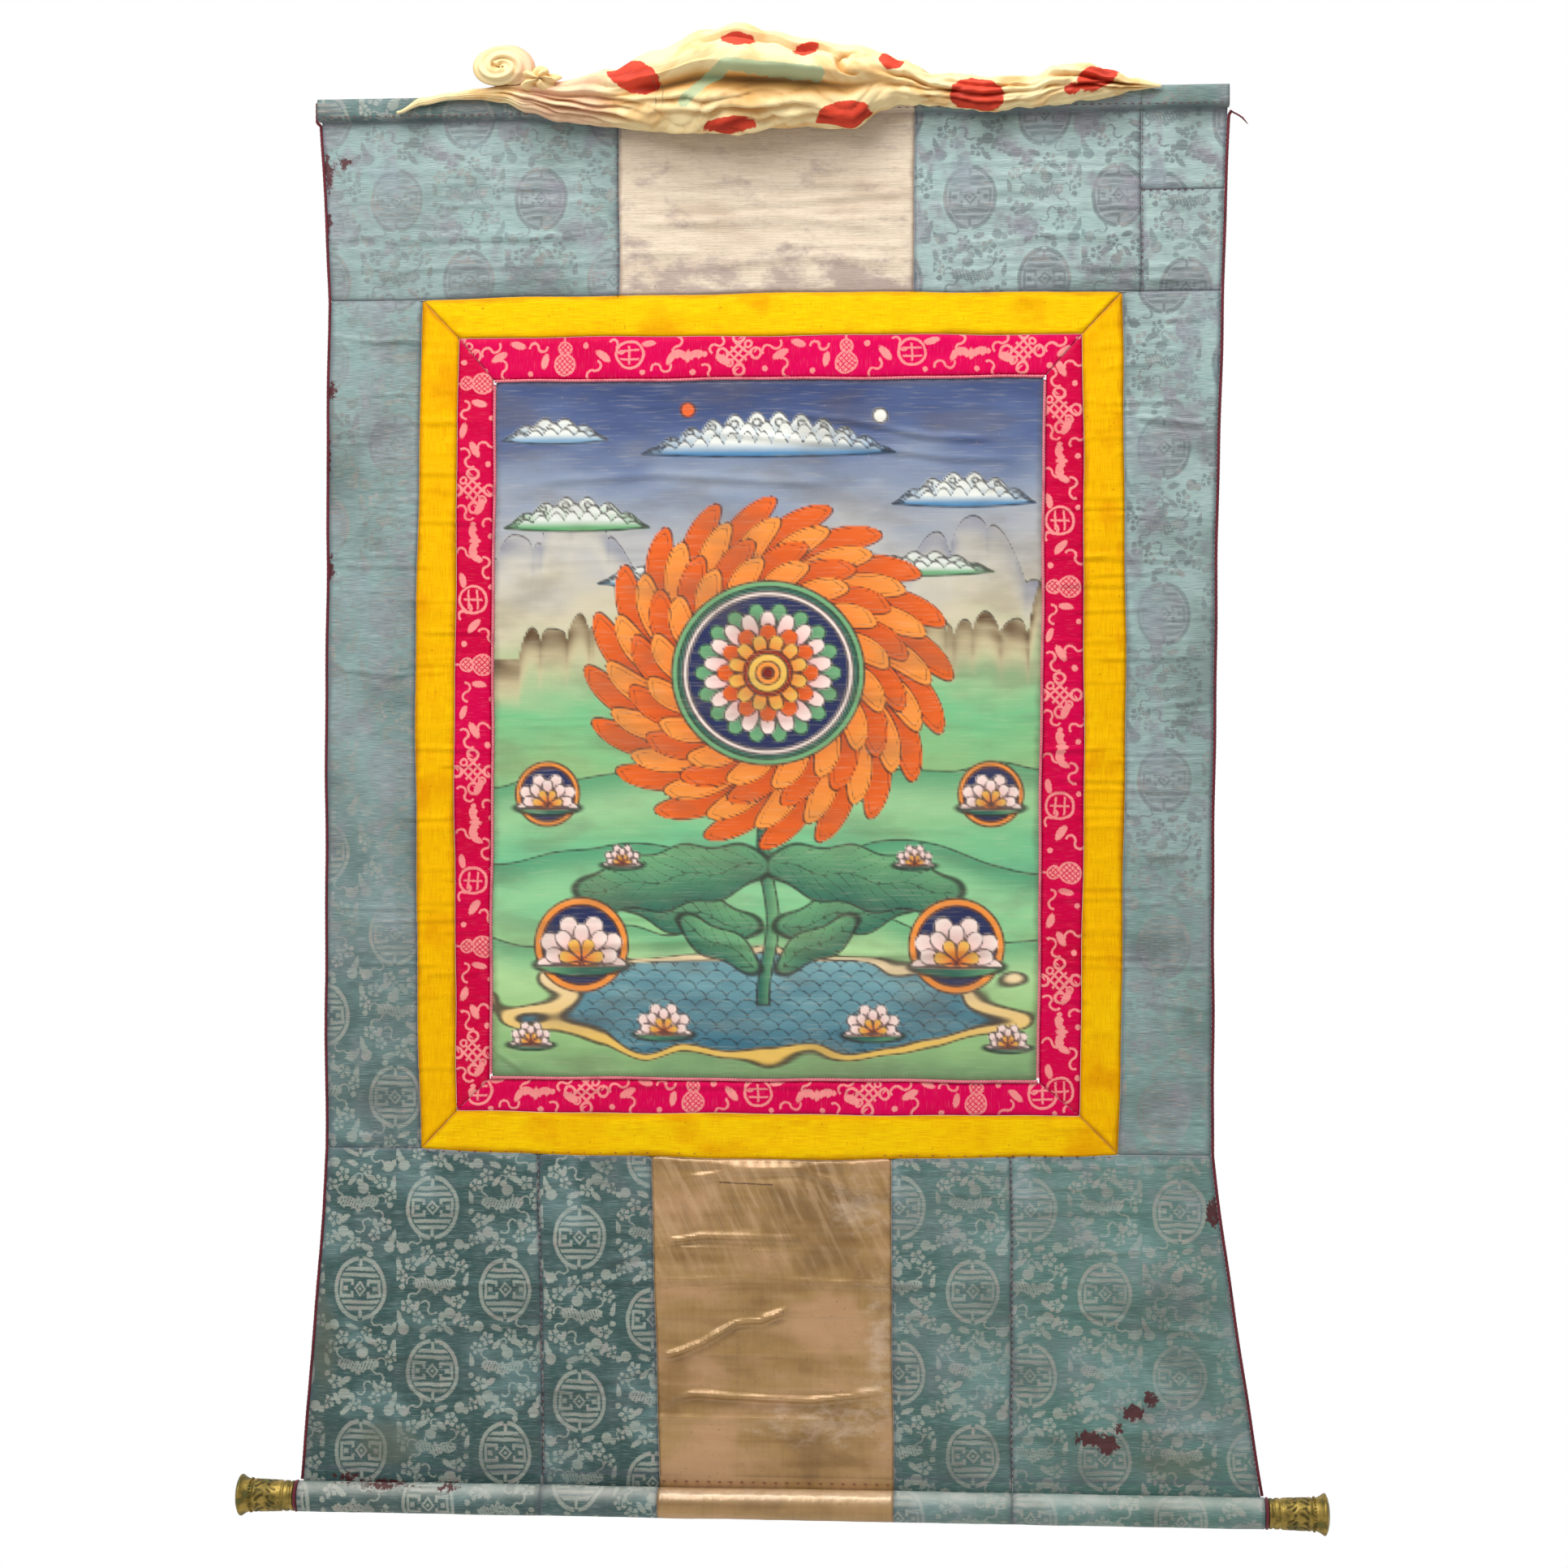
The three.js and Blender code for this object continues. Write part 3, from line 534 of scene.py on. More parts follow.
blueBrocade = {
    "column": 60.2, "drop": 67.4,
    # groundHigh and motifHigh are the colours at a high fade mark, near the top: partly faded dye, partly painted sheen
    "groundHigh": srgb(158, 180, 176), "groundLow": srgb(46, 80, 77),
    "motifHigh": srgb(94, 102, 106), "motifLow": srgb(160, 166, 154), "pink": srgb(178, 162, 154),
    "stain": srgb(134, 130, 140), "teal": srgb(92, 140, 126), "tear": srgb(74, 4, 18), "grime": srgb(96, 98, 82), "worn": srgb(200, 200, 190),
    "blossoms": [(-17, 21, 6.4), (-26, 11, 5.6), (15, 27, 6.2), (24, 19, 5.4), (21, -10, 6.4), (-21, -14, 6.4), (-12, -23, 5.4), (5, -29, 6.2), (27, -27, 5.4), (-5, 31, 5.4)],
    "gourds": [(-2, 15, 4.6, 60), (14, -20, 4.8, 200), (-24, -33, 4.6, 110), (22, 37, 4.4, -20), (-24, 34, 4.4, 150)],
    "leaves": [(-9, 24, 5.6, 25), (-28, 20, 5.6, 100), (29, 9, 5.6, 70), (13, -9, 5.4, -35), (-5, -33, 5.6, 20), (20, -24, 5.4, 60), (7, 22, 5, -50), (-29, -22, 5.4, 120), (7, 36, 5, 20), (-13, -14, 5, 70), (13, -34, 5, 140)],
    "curls": [(-14, 8, 4.0, 30), (17, 11, 4.0, 110), (-15, -3, 3.6, 75), (-15, 38, 3.6, 60), (-3, -15, 3.6, 150)],
    "berries": [(-25, 2, 2.4), (28, -3, 2.4), (-8, -39, 2.6)],
}


def makeBlueBrocade():
    b = blueBrocade
    finish, wire, _ = newFinish("blue_brocade_silk", Sheen_Weight=0.06, Sheen_Roughness=0.4, Specular_IOR_Level=0.3)
    place, u, v = clothPlace(wire)
    warp = (wire.noise(place, (40, 40, 1), 1.0) - 0.5) * 2.4
    u, v = u + warp, v + warp
    column = u.math("ROUND", u * (1 / b["column"]))
    odd = abs(column.math("MODULO", column, 2.0))
    x = u - column * b["column"]
    fall = v + odd * b["drop"]
    medallion = fretMedallion(x, fall.wrap(b["drop"]))
    x, y = x * (1 - odd * 2), (fall + b["drop"]).wrap(b["drop"])
    wings = bat(x - 2, y - 2, 17)
    between = wings.high(-rim((x + y * 0.4).wrap(1.3), 0.3).high(wings + 1.2))
    for cx, cy, r in b["blossoms"]:
        between = between.low(blossom(x - cx, y - cy, r))
    for cx, cy, long, degrees in b["leaves"]:
        between = between.low(leaf(x - cx, y - cy, long, degrees))
    for cx, cy, r, degrees in b["curls"]:
        between = between.low(curl(*turned(x - cx, y - cy, degrees), r, 0.7))
    for cx, cy, r, degrees in b["gourds"]:
        between = between.low(gourd(x - cx, y - cy, r, degrees))
    for cx, cy, r in b["berries"]:
        between = between.low(disc(x - cx, y - cy, r))
    ragged = (wire.noise(place, (520, 620, 1), 2.0) - 0.5) * 2.2
    shape = (medallion + ragged * 0.5).low(between + ragged).inside(0.55)
    filled = (away(x, fall.wrap(b["drop"]) * 0.83) - 20.5 + ragged).inside(0.8)

    # The fade mark is partly real fading and partly painted sheen: it rises towards the top, where the ground is
    # painted lighter and the motif darker as the satin catches the light; it also scales the mauve stains
    fade = wire.mark("fade")
    thread = wire.noise(place, (90, 2400, 1), 3.0)
    blotch = wire.noise(place, (9, 12, 1), 4.0)
    patchy = wire.noise(place, (26, 20, 1), 4.0, 0.6)
    ground = wire.mix(fade, b["groundLow"], b["groundHigh"])
    motif = wire.mix(fade, b["motifLow"], b["motifHigh"])
    motif = wire.mix(wire.noise(place, (70, 70, 1), 2.0).step(0.5, 0.7) * 0.45, motif, b["pink"])
    green = wire.outs("ShaderNodeSeparateXYZ", None, {0: wire.node("ShaderNodeTexCoord", None, None, 3)})[0].step(0.02, 0.3)
    ground = wire.mix(green * (0.55 - fade * 0.55), ground, b["teal"])
    visible = (0.9 - fade * 0.16) * (0.4 + blotch * 1.0)
    colour = wire.mix(filled * fade * 0.55, ground, b["stain"])
    colour = wire.mix(shape * visible, colour, motif)
    colour = wire.mix(patchy.step(0.48, 0.66) * (0.14 + fade * 0.62), colour, b["stain"])
    light = wire.noise(place, (13, 18, 1), 3.0)
    colour = wire.mix(light.step(0.48, 0.72) * 0.3, colour, srgb(146, 180, 180))
    colour = wire.mix(light.step(0.5, 0.26) * 0.42, colour, srgb(62, 72, 66))
    broken = wire.noise(place, (44, 700, 1), 3.0, 0.6)
    colour = wire.mix(broken.step(0.6, 0.78) * (0.2 + fade * 0.12), colour, srgb(86, 92, 94))
    colour = wire.mix(broken.step(0.38, 0.24) * 0.22, colour, srgb(190, 198, 192))
    colour = wire.mix(thread.step(0.42, 0.75) * 0.42, colour, srgb(66, 80, 84))
    colour = wire.mix(thread.step(0.5, 0.2) * 0.26, colour, srgb(196, 206, 200))
    # Painted highlight, partly wear: paler along the roll's upper front
    colour = wire.mix(wire.mark("worn") * (0.1 + patchy * 0.75), colour, b["worn"])
    # Darker near the seams: partly painted shade at the seams and piping, partly staining
    edge = wire.mark("edge")
    colour = wire.mix((edge + (patchy - 0.5) * 9).step(5.0, 0.0) * 0.45, colour, srgb(84, 88, 100))
    scar = wire.mark("tear") + (wire.noise(place, (260, 200, 1), 4.0, 0.7) - 0.5) * 14
    colour = wire.mix(scar.inside(0.8) * 0.9, colour, b["tear"])
    soil = wire.mark("soil") + (blotch - 0.5) * 20
    colour = wire.mix(soil.step(4.0, -8.0) * 0.5, colour, b["grime"])
    weave = (u * 7.4).sine() * (v * 7.4).sine()
    wear(finish, colour, 0.44 + shape * 0.14 + blotch * 0.1, shape * 0.3 + weave * 0.12 + thread * 0.5 - scar.inside(0.8) * 0.6, 0.0003, 0.6)
    return finish


# Yellow silk: plain slub weave, orange stains along the seams

yellowSilk = {"lemon": srgb(242, 200, 4), "base": srgb(238, 182, 0), "deep": srgb(214, 134, 0), "pale": srgb(248, 208, 24), "stain": srgb(168, 92, 10)}


def makeYellowSilk():
    y = yellowSilk
    finish, wire, _ = newFinish("yellow_silk_slub", Specular_IOR_Level=0.04)
    place, u, v = clothPlace(wire)
    along = wire.noise(place, (60, 1900, 1), 3.0)
    across = wire.noise(place, (1700, 80, 1), 3.0)
    blotch = wire.noise(place, (16, 22, 1), 4.0)
    colour = wire.mix(wire.mark("fade").step(0.1, 0.6), y["lemon"], y["base"])
    colour = wire.mix(along.step(0.38, 0.7) * 0.5, colour, y["deep"])
    colour = wire.mix(across.step(0.55, 0.8) * 0.4, colour, y["pale"])
    colour = wire.mix(across.step(0.42, 0.22) * 0.4, colour, y["deep"])
    colour = wire.mix(blotch.step(0.5, 0.75) * 0.6, colour, y["deep"])
    edge = wire.mark("edge") + (blotch - 0.5) * 9
    colour = wire.mix(edge.step(5.0, -1.0) * 0.6, colour, y["stain"])
    speck = wire.noise(place, (240, 190, 1), 4.0, 0.65)
    colour = wire.mix(speck.step(0.67, 0.76) * 0.6, colour, y["stain"])
    wear(finish, colour, 0.46 + along * 0.16, along * 0.5 + across * 0.5, 0.0003, 0.6)
    return finish


# Magenta brocade: knots, gourds, round frets and scrolls in paler salmon, cut by the strip's edges

magentaBrocade = {
    "repeat": 232.0, "ground": srgb(214, 0, 82), "deep": srgb(188, 0, 44), "motif": srgb(238, 146, 142), "worn": srgb(240, 150, 150),
    "curls": [(27, 8, 4.4, 40), (38, -9, 4.2, 120), (66, 9, 3.8, 10), (112, -10, 4.2, 70), (132, 10, 3.6, 150), (168, -8, 4.4, 20), (181, 9, 3.8, 95), (214, 10, 4.0, 60), (208, -11, 3.8, 140)],
    "leaves": [(34, 2, 7, 30), (49, 11, 6, -20), (72, -2, 6, 80), (120, 2, 7, -40), (158, 12, 6, 10), (176, 0, 6, 60), (219, -2, 7, -30)],
    "berries": [(22, -9, 2.4), (60, -12, 2.2), (106, 11, 2.4), (152, -12, 2.2), (194, -12, 2.4), (204, 3, 2.2)],
}


def makeMagentaBrocade():
    m = magentaBrocade
    half = m["repeat"] / 2
    finish, wire, _ = newFinish("magenta_brocade_silk", Specular_IOR_Level=0.06)
    place, u, v = clothPlace(wire)
    warp = (wire.noise(place, (50, 50, 1), 1.0) - 0.5) * 3.0
    u, v = u + warp, v + warp
    x = (u - half).wrap(half) + half
    knotX = u.wrap(half)
    p, q = turned(knotX, v - 3, 45)
    lattice = rim(p.wrap(2.7), 1.0).low(rim(q.wrap(2.7), 1.0)).high(slab(p, q, 8.6, 8.6))
    loops = rim(disc(abs(knotX) - 13.6, v - 3, 4.2), 1.1).low(rim(disc(knotX, abs(v - 3) - 13.6, 4.2), 1.1))
    loops = loops.low(rim(disc(abs(p) - 11.0, q.wrap(5.4), 2.6), 0.9).high(abs(q) - 8.6))
    shape = lattice.low(loops)
    gourd = disc(x - 88, v + 5, 9.0).low(disc(x - 88, v - 8, 6.0)).low(slab(x - 88, v - 15, 0.9, 4.0))
    grain = rim((x - 88 + v).wrap(2.2), 0.55).low(rim((x - 88 - v).wrap(2.2), 0.55))
    shape = shape.low(gourd.high(-grain.high(gourd + 1.4)))
    round_ = rim(disc(x - 142, v - 3, 11.0), 1.1)
    bars = rim(abs(v - 3) - 3.6, 0.8).low(slab(x - 142, v - 3, 0.8, 7.5)).high(disc(x - 142, v - 3, 8.6))
    shape = shape.low(round_).low(bars).low(bat(x - 190, v - 1, 13))
    for cx, cy, r, degrees in m["curls"]:
        shape = shape.low(curl(*turned(x - cx, v - cy, degrees), r, 0.95))
    for cx, cy, long, degrees in m["leaves"]:
        shape = shape.low(leaf(x - cx, v - cy, long, degrees))
    for cx, cy, r in m["berries"]:
        shape = shape.low(disc(x - cx, v - cy, r))
    ragged = (wire.noise(place, (800, 800, 1), 1.0) - 0.5) * 1.2
    shape = (shape + ragged).inside(0.5)
    thread = wire.noise(place, (2200, 90, 1), 3.0)
    blotch = wire.noise(place, (14, 20, 1), 4.0)
    colour = wire.mix(wire.mark("fade"), m["ground"], m["deep"])
    colour = wire.mix(shape * (0.5 + blotch * 0.9), colour, m["motif"])
    colour = wire.mix(thread.step(0.5, 0.75) * 0.3, colour, m["deep"])
    colour = wire.mix(thread.step(0.4, 0.2) * 0.2, colour, m["worn"])
    # Darker near the seams: partly painted shade at the seams and piping, partly staining
    edge = wire.mark("edge") + (blotch - 0.5) * 6
    colour = wire.mix(edge.step(3.0, -1.0) * 0.45, colour, srgb(116, 0, 44))
    wear(finish, colour, 0.5 + shape * 0.12, shape * 0.4 + thread * 0.6, 0.0003, 0.6)
    return finish


# Cream silk patch at the head and gold satin patch at the foot

creamSilk = {"base": srgb(192, 170, 144), "pale": srgb(218, 202, 180), "brown": srgb(152, 124, 98), "mauve": srgb(134, 112, 114)}


def makeCreamSilk():
    c = creamSilk
    finish, wire, _ = newFinish("cream_silk_slub", Sheen_Weight=0.08, Specular_IOR_Level=0.3)
    place, u, v = clothPlace(wire)
    slub = wire.noise(place, (34, 1300, 1), 4.0)
    fine = wire.noise(place, (150, 2600, 1), 2.0)
    blotch = wire.noise(place, (11, 30, 1), 4.0)
    colour = wire.mix(slub.step(0.4, 0.7) * 0.55, c["pale"], c["base"])
    colour = wire.mix(fine.step(0.5, 0.8) * 0.4, colour, c["brown"])
    colour = wire.mix(blotch.step(0.48, 0.72) * 0.35, colour, c["brown"])
    low = v.step(-118.0, -172.0)
    soiled = wire.noise(place, (22, 40, 1), 5.0, 0.65)
    colour = wire.mix((soiled + low * 0.24).step(0.52, 0.76) * 0.6, colour, c["mauve"])
    # Darker near the seams: partly painted shade at the seams, partly staining
    edge = wire.mark("edge") + (soiled - 0.5) * 9
    colour = wire.mix(edge.step(4.0, -1.0) * 0.5, colour, srgb(132, 104, 92))
    speck = wire.noise(place, (210, 180, 1), 4.0, 0.65)
    colour = wire.mix(speck.step(0.7, 0.77) * (0.25 + low * 0.5), colour, srgb(104, 70, 70))
    wear(finish, colour, 0.5 + fine * 0.15, slub * 0.7 + fine * 0.5, 0.0004, 0.7)
    return finish


goldSatin = {"base": srgb(164, 128, 76), "deep": srgb(122, 88, 46), "pink": srgb(196, 152, 112), "worn": srgb(212, 188, 164)}


def makeGoldSatin():
    g = goldSatin
    finish, wire, _ = newFinish("gold_satin", Specular_IOR_Level=0.7, Metallic=0.25)
    place, u, v = clothPlace(wire)
    satin = wire.noise(place, (300, 34, 1), 3.0)
    blotch = wire.noise(place, (12, 18, 1), 4.0)
    colour = wire.mix(satin.step(0.4, 0.7) * 0.16, g["base"], g["deep"])
    # Painted sheen and shade: lighter and darker horizontal bands across the satin
    bands = wire.noise(place, (5, 60, 1), 3.0)
    colour = wire.mix(bands.step(0.5, 0.7) * 0.45, colour, srgb(186, 150, 100))
    colour = wire.mix(bands.step(0.48, 0.3) * 0.5, colour, srgb(132, 98, 54))
    colour = wire.mix(blotch.step(0.46, 0.68) * 0.7, colour, g["pink"])
    colour = wire.mix(blotch.step(0.48, 0.3) * 0.65, colour, g["deep"])
    slant, _ = turned(u, v, 24)
    along = (v + u * 0.44) * 0.016
    # Painted sheen: lighter and darker slanted streaks over the upper part of the satin, broad and fine
    upper = v.step(-1010.0, -905.0)
    broad = wire.noise(slant.node("ShaderNodeCombineXYZ", None, {0: slant * 0.13, 1: along * 1.6}), (1, 1, 1), 2.0)
    colour = wire.mix(broad.step(0.5, 0.68) * upper * 0.4, colour, srgb(206, 170, 128))
    colour = wire.mix(broad.step(0.46, 0.3) * upper * 0.3, colour, srgb(116, 84, 46))
    sheenStreak = wire.noise(slant.node("ShaderNodeCombineXYZ", None, {0: slant * 0.8, 1: along}), (1, 1, 1), 2.0)
    sheenStreaked = sheenStreak.step(0.58, 0.7) * oval(u + 50, v + 912, 76.0, 56.0).step(10.0, -25.0)
    colour = wire.mix(sheenStreaked * 0.18, colour, srgb(214, 188, 146))
    rubAndHighlight = wire.noise(place, (60, 110, 1), 5.0, 0.7)
    right = oval(u - 92, v + 1030, 16.0, 70.0).low(oval(u - 74, v + 912, 30.0, 26.0) + 6)
    worn = (oval(u - 56, v + 1088, 62.0, 17.0).low(right) + (rubAndHighlight - 0.5) * 70).step(6.0, -30.0)
    colour = wire.mix(worn * 0.5, colour, g["worn"])
    # Painted highlight, partly wear: paler along the roll's upper front
    colour = wire.mix(wire.mark("worn") * (0.1 + rubAndHighlight * 0.8), colour, srgb(226, 198, 168))
    fleck = wire.noise(place, (260, 330, 1), 3.0, 0.6)
    colour = wire.mix(fleck.step(0.7, 0.75) * 0.5, colour, srgb(92, 66, 44))
    mark = slab(u + 18 + (v + 894) * 0.2, v + 894 + u * 0.03, 22.0, 0.55)
    colour = wire.mix((mark + (fleck - 0.5) * 1.4).inside(0.3) * 0.75, colour, srgb(70, 44, 34))
    # Darker near the seams: partly painted shade at the seams, partly staining
    edge = wire.mark("edge") + (blotch - 0.5) * 6
    colour = wire.mix(edge.step(3.0, -1.0) * 0.4, colour, srgb(92, 62, 36))
    wear(finish, colour, 0.26 + satin * 0.12 + worn * 0.25, broad * 0.8 + rubAndHighlight * 0.6, 0.0006, 0.6)
    return finish


print("cloth patterns ready")

# Painted cotton: a lotus wheel over hills and a lily pool, a plain decorative design of its own.
# Colours and the distance to the nearest inked line are worked out per point of the sheet.

paint = {
    "orange": srgb(226, 98, 30), "flame": srgb(240, 146, 62), "red": srgb(170, 44, 28), "maroon": srgb(116, 26, 22),
    "navy": srgb(38, 46, 86), "pinkWhite": srgb(244, 224, 214), "pink": srgb(222, 140, 138), "gold": srgb(228, 182, 84),
    "leaf": srgb(48, 102, 86), "leafPale": srgb(112, 168, 118), "water": srgb(58, 106, 124), "waterPale": srgb(120, 164, 170),
    "cloud": srgb(226, 228, 220), "wheelY": 46.0, "poolY": -226.0,
}
skyStops = [
    (-287, srgb(116, 150, 104)), (-240, srgb(152, 194, 128)), (-200, srgb(160, 202, 138)), (-110, srgb(106, 188, 140)), (-40, srgb(142, 184, 124)), (15, srgb(118, 188, 132)),
    (60, srgb(178, 188, 144)), (95, srgb(204, 194, 166)), (140, srgb(186, 183, 178)), (200, srgb(134, 146, 166)), (245, srgb(82, 98, 138)), (287, srgb(56, 70, 112)),
]
ridges = [  # base height, rise, length of a hump, seed, foot and crest colours, 1 where it keeps clear of the middle
    (96, 74, 84, 51, srgb(204, 198, 182), srgb(146, 148, 160), 1), (58, 76, 60, 58, srgb(206, 190, 150), srgb(92, 66, 42), 1),
    (-30, 40, 90, 53, srgb(160, 204, 150), srgb(78, 150, 106), 0), (-100, 44, 110, 54, srgb(150, 206, 150), srgb(66, 146, 108), 0),
    (-168, 40, 96, 55, srgb(176, 214, 152), srgb(92, 164, 118), 0),
]
cloudBanks = [  # x, y, half width, height, colour at the foot
    (0, 226, 104, 24, srgb(70, 128, 172)), (-158, 166, 60, 18, srgb(92, 160, 104)), (160, 184, 58, 18, srgb(78, 134, 176)),
    (-176, 238, 44, 13, srgb(120, 160, 190)), (128, 128, 56, 12, srgb(110, 166, 120)), (-96, 120, 44, 10, srgb(120, 160, 180)),
]
sprays = [  # x from the middle on both sides, y, size, ringed by a halo or not
    (154, -190, 38, True), (86, -248, 24, False), (182, -62, 26, True), (196, -258, 18, False), (120, -110, 16, False),
]


def colourOf(name):
    return np.array(paint[name][:3])


def shade(a, b, t):
    a, b = np.array(a[:3]), np.array(b[:3])
    return a + (b - a) * np.clip(t, 0, 1)[..., None]


def layPaint(canvas, d, fill, inked=True):
    canvas["colour"] = lerp(canvas["colour"], fill, np.clip(0.5 - d / canvas["soft"], 0, 1)[..., None])
    reach = np.abs(d) if inked else np.full_like(d, 60.0)
    canvas["line"] = np.where(d < 0, reach, np.minimum(canvas["line"], reach))


def petalRing(reach, angle, count, inner, outer, phase, fat, swirl=0.0):
    part = (angle + swirl * (reach - inner)) * count / (2 * np.pi) + phase
    part = np.abs(part - np.round(part))
    t = np.clip((reach - inner) / (outer - inner), 0, 1)
    d = (part - 0.5 * fat * np.sqrt(1 - t ** 4)) * reach * 2 * np.pi / count
    return np.maximum(np.maximum(d, inner - reach), reach - outer), t


def paintPicture(x, y, soft):
    heights = [stop[0] for stop in skyStops]
    wash = y + 16 * lumps(x, y, 60, 26, 61) + 7 * lumps(x, y, 22, 9, 62)
    colour = np.stack([np.interp(wash, heights, [stop[1][k] for stop in skyStops]) for k in range(3)], -1)
    canvas = {"colour": colour, "line": np.full_like(x, 60.0), "soft": soft}
    side = np.abs(x)

    for base, rise, long, seed, foot, crest, clear in ridges:
        hump = 0.6 * lumps(x, 0 * x, long, 1, seed) + 0.24 * lumps(x, 0 * x, long / 2.4, 1, seed + 20)
        if clear:
            domes = np.sqrt(np.abs(np.sin(x * np.pi / long + seed))) * 0.4 + np.sqrt(np.abs(np.sin(x * 2.7 * np.pi / long + seed))) * 0.2
            top = base + rise * np.maximum(hump + domes, 0) * ease((side - 70) / 90)
        else:
            top = base + 0.6 * rise * hump
        d = y - top
        fade = ease((d + 46) / 30) if clear else ease((d + 60) / 50)
        seen = np.clip(0.5 - d / soft, 0, 1) * fade
        rock = np.abs(lumps(x + 0.5 * y, y, long / 3, long / 4, seed + 60)) if clear else 0.5
        canvas["colour"] = lerp(canvas["colour"], shade(foot, crest, ease((d + 34) / 34) * (0.55 + 0.6 * rock)), seen[..., None])
        canvas["line"] = np.where(d < -1, np.where(fade > 0.6, 60.0, canvas["line"]), canvas["line"])
        canvas["line"] = np.where((top > base + 1.5) | (clear == 0), np.minimum(canvas["line"], np.abs(d) + 0.1), canvas["line"])

    for cx, cy, wide, tall, tone in cloudBanks:
        px, py = x - cx, y - cy
        hump = np.maximum(1 - (px / wide) ** 2, 0)
        for share, shift, step in ((1.0, 0.0, 0.17), (0.66, 5.0, 0.2), (0.34, 2.5, 0.24)):
            scallop = np.abs(np.sin(px * step + shift)) * tall * 0.42
            d = np.maximum(np.maximum(py - hump * tall * share - scallop * hump, -py - hump * 3), np.abs(px) - wide)
            layPaint(canvas, d, shade(tone, paint["cloud"], py / tall / share * 0.9))
            curlX = px * step / np.pi + shift / np.pi + 0.5
            curlX = (curlX - np.round(curlX)) * np.pi / step
            curlY = py - hump * tall * share - tall * 0.06
            swirl = np.abs(np.hypot(curlX, curlY) - tall * 0.13) + 60 * ((hump < 0.3) | (share < 1) | (tall < 16))
            canvas["line"] = np.where(d < 0, np.minimum(canvas["line"], swirl), canvas["line"])
    layPaint(canvas, np.hypot(x + 66, y - 262) - 6, srgb(226, 96, 40)[:3])
    layPaint(canvas, np.hypot(x - 92, y - 256) - 6, srgb(238, 236, 226)[:3])

    pool = (np.hypot(x / 190, (y - paint["poolY"]) / 38) - 1) * 38 + 9 * lumps(x, y, 34, 20, 63)
    layPaint(canvas, pool - 6, shade(srgb(226, 184, 92), srgb(240, 214, 170), (y - paint["poolY"] + 30) / 60))
    layPaint(canvas, pool, shade(paint["water"], paint["waterPale"], (y - paint["poolY"] + 40) / 80 + 0.3 * lumps(x, y, 30, 8, 64)))
    row = np.round(y / 8)
    waveX = (x + row * 8.5) / 17
    ripple = np.abs(np.hypot((waveX - np.round(waveX)) * 17, y - row * 8 + 7) - 9.4)
    canvas["line"] = np.where(pool < -2, np.minimum(canvas["line"], ripple + 0.4), canvas["line"])

    stem = np.maximum(np.maximum(np.abs(x + 4 * np.sin(y * 0.05)) - 5, y - paint["wheelY"] + 60), -y - 226)
    layPaint(canvas, stem, shade(paint["leaf"], paint["leafPale"], (x + 6) / 12))
    for cx, cy, long, fat, degrees in ((66, -150, 62, 18, 14), (78, -122, 82, 24, -9), (40, -176, 40, 13, 30)):
        c, s = math.cos(math.radians(degrees)), math.sin(math.radians(degrees))
        a, b = (side - cx) * c + (y - cy) * s, (y - cy) * c - (side - cx) * s
        b = b + 2.4 * np.sin(a * 0.13)
        d = (np.hypot(a / long, b / fat) - 1) * fat
        layPaint(canvas, d, shade(paint["leaf"], paint["leafPale"], 0.5 + 0.5 * b / fat))
        vein = np.minimum(np.abs(b), np.abs(((a - np.abs(b) * 1.2) / 11 + 0.5) % 1 - 0.5) * 11)
        canvas["line"] = np.where(d < -2, np.minimum(canvas["line"], vein + 0.5), canvas["line"])

    for cx, cy, size, halo in sprays:
        px, py = side - cx, y - cy
        reach, angle = np.hypot(px, py), np.arctan2(px, py)
        if halo:
            glow = np.hypot(px, py - size * 0.34)
            layPaint(canvas, glow - size * 1.02, shade(paint["orange"], paint["flame"], glow / size))
            layPaint(canvas, glow - size * 0.86, colourOf("navy"))
        layPaint(canvas, np.maximum((np.hypot(px / size, (py + size * 0.1) / size / 0.24) - 1) * size * 0.24, py), shade(paint["leaf"], paint["leafPale"], px / size))
        for count, inner, outer, phase, low, tip in ((9, 1.0, 1.0, 0.5, "pink", "pinkWhite"), (9, 1.0, 0.8, 0.0, "pink", "pinkWhite"), (7, 0.5, 0.5, 0.5, "orange", "gold")):
            d, t = petalRing(reach, angle, count, inner, outer * size, phase, 0.98)
            layPaint(canvas, np.maximum(d, -py - size * 0.12), shade(paint[low], paint[tip], t))

    px, py = x, (y - paint["wheelY"]) * 1.05
    reach, angle = np.hypot(px, py), np.arctan2(py, px)
    for count, inner, outer, phase, fat, swirl, low, tip in (
        (20, 60, 152, 0.0, 0.98, 0.007, "red", "orange"), (20, 60, 134, 0.5, 0.94, 0.007, "orange", "flame"),
        (16, 56, 116, 0.25, 0.96, 0.009, "red", "orange"), (16, 56, 100, 0.75, 0.92, 0.009, "orange", "flame"),
    ):
        d, t = petalRing(reach, angle, count, inner, outer, phase, fat, swirl)
        layPaint(canvas, d, shade(paint[low], paint[tip], t * 1.1))
        inside = np.abs(d + 4.6) + 0.6
        canvas["line"] = np.where(d < -1, np.minimum(canvas["line"], inside), canvas["line"])
    for size, name in ((79, "leafPale"), (74, "leaf"), (70, "pinkWhite"), (66, "navy")):
        layPaint(canvas, reach - size, colourOf(name))
    for count, inner, outer, phase, low, tip in ((18, 26, 60, 0.0, "leaf", "leafPale"), (18, 24, 53, 0.5, "pink", "pinkWhite"), (12, 16, 42, 0.0, "red", "orange"), (12, 14, 33, 0.5, "orange", "gold")):
        d, t = petalRing(reach, angle, count, inner, outer, phase, 0.96)
        layPaint(canvas, d, shade(paint[low], paint[tip], t))
    for size, name in ((20, "red"), (16.5, "gold"), (10, "flame"), (5, "maroon")):
        layPaint(canvas, reach - size, colourOf(name))
    return canvas["colour"], canvas["line"]


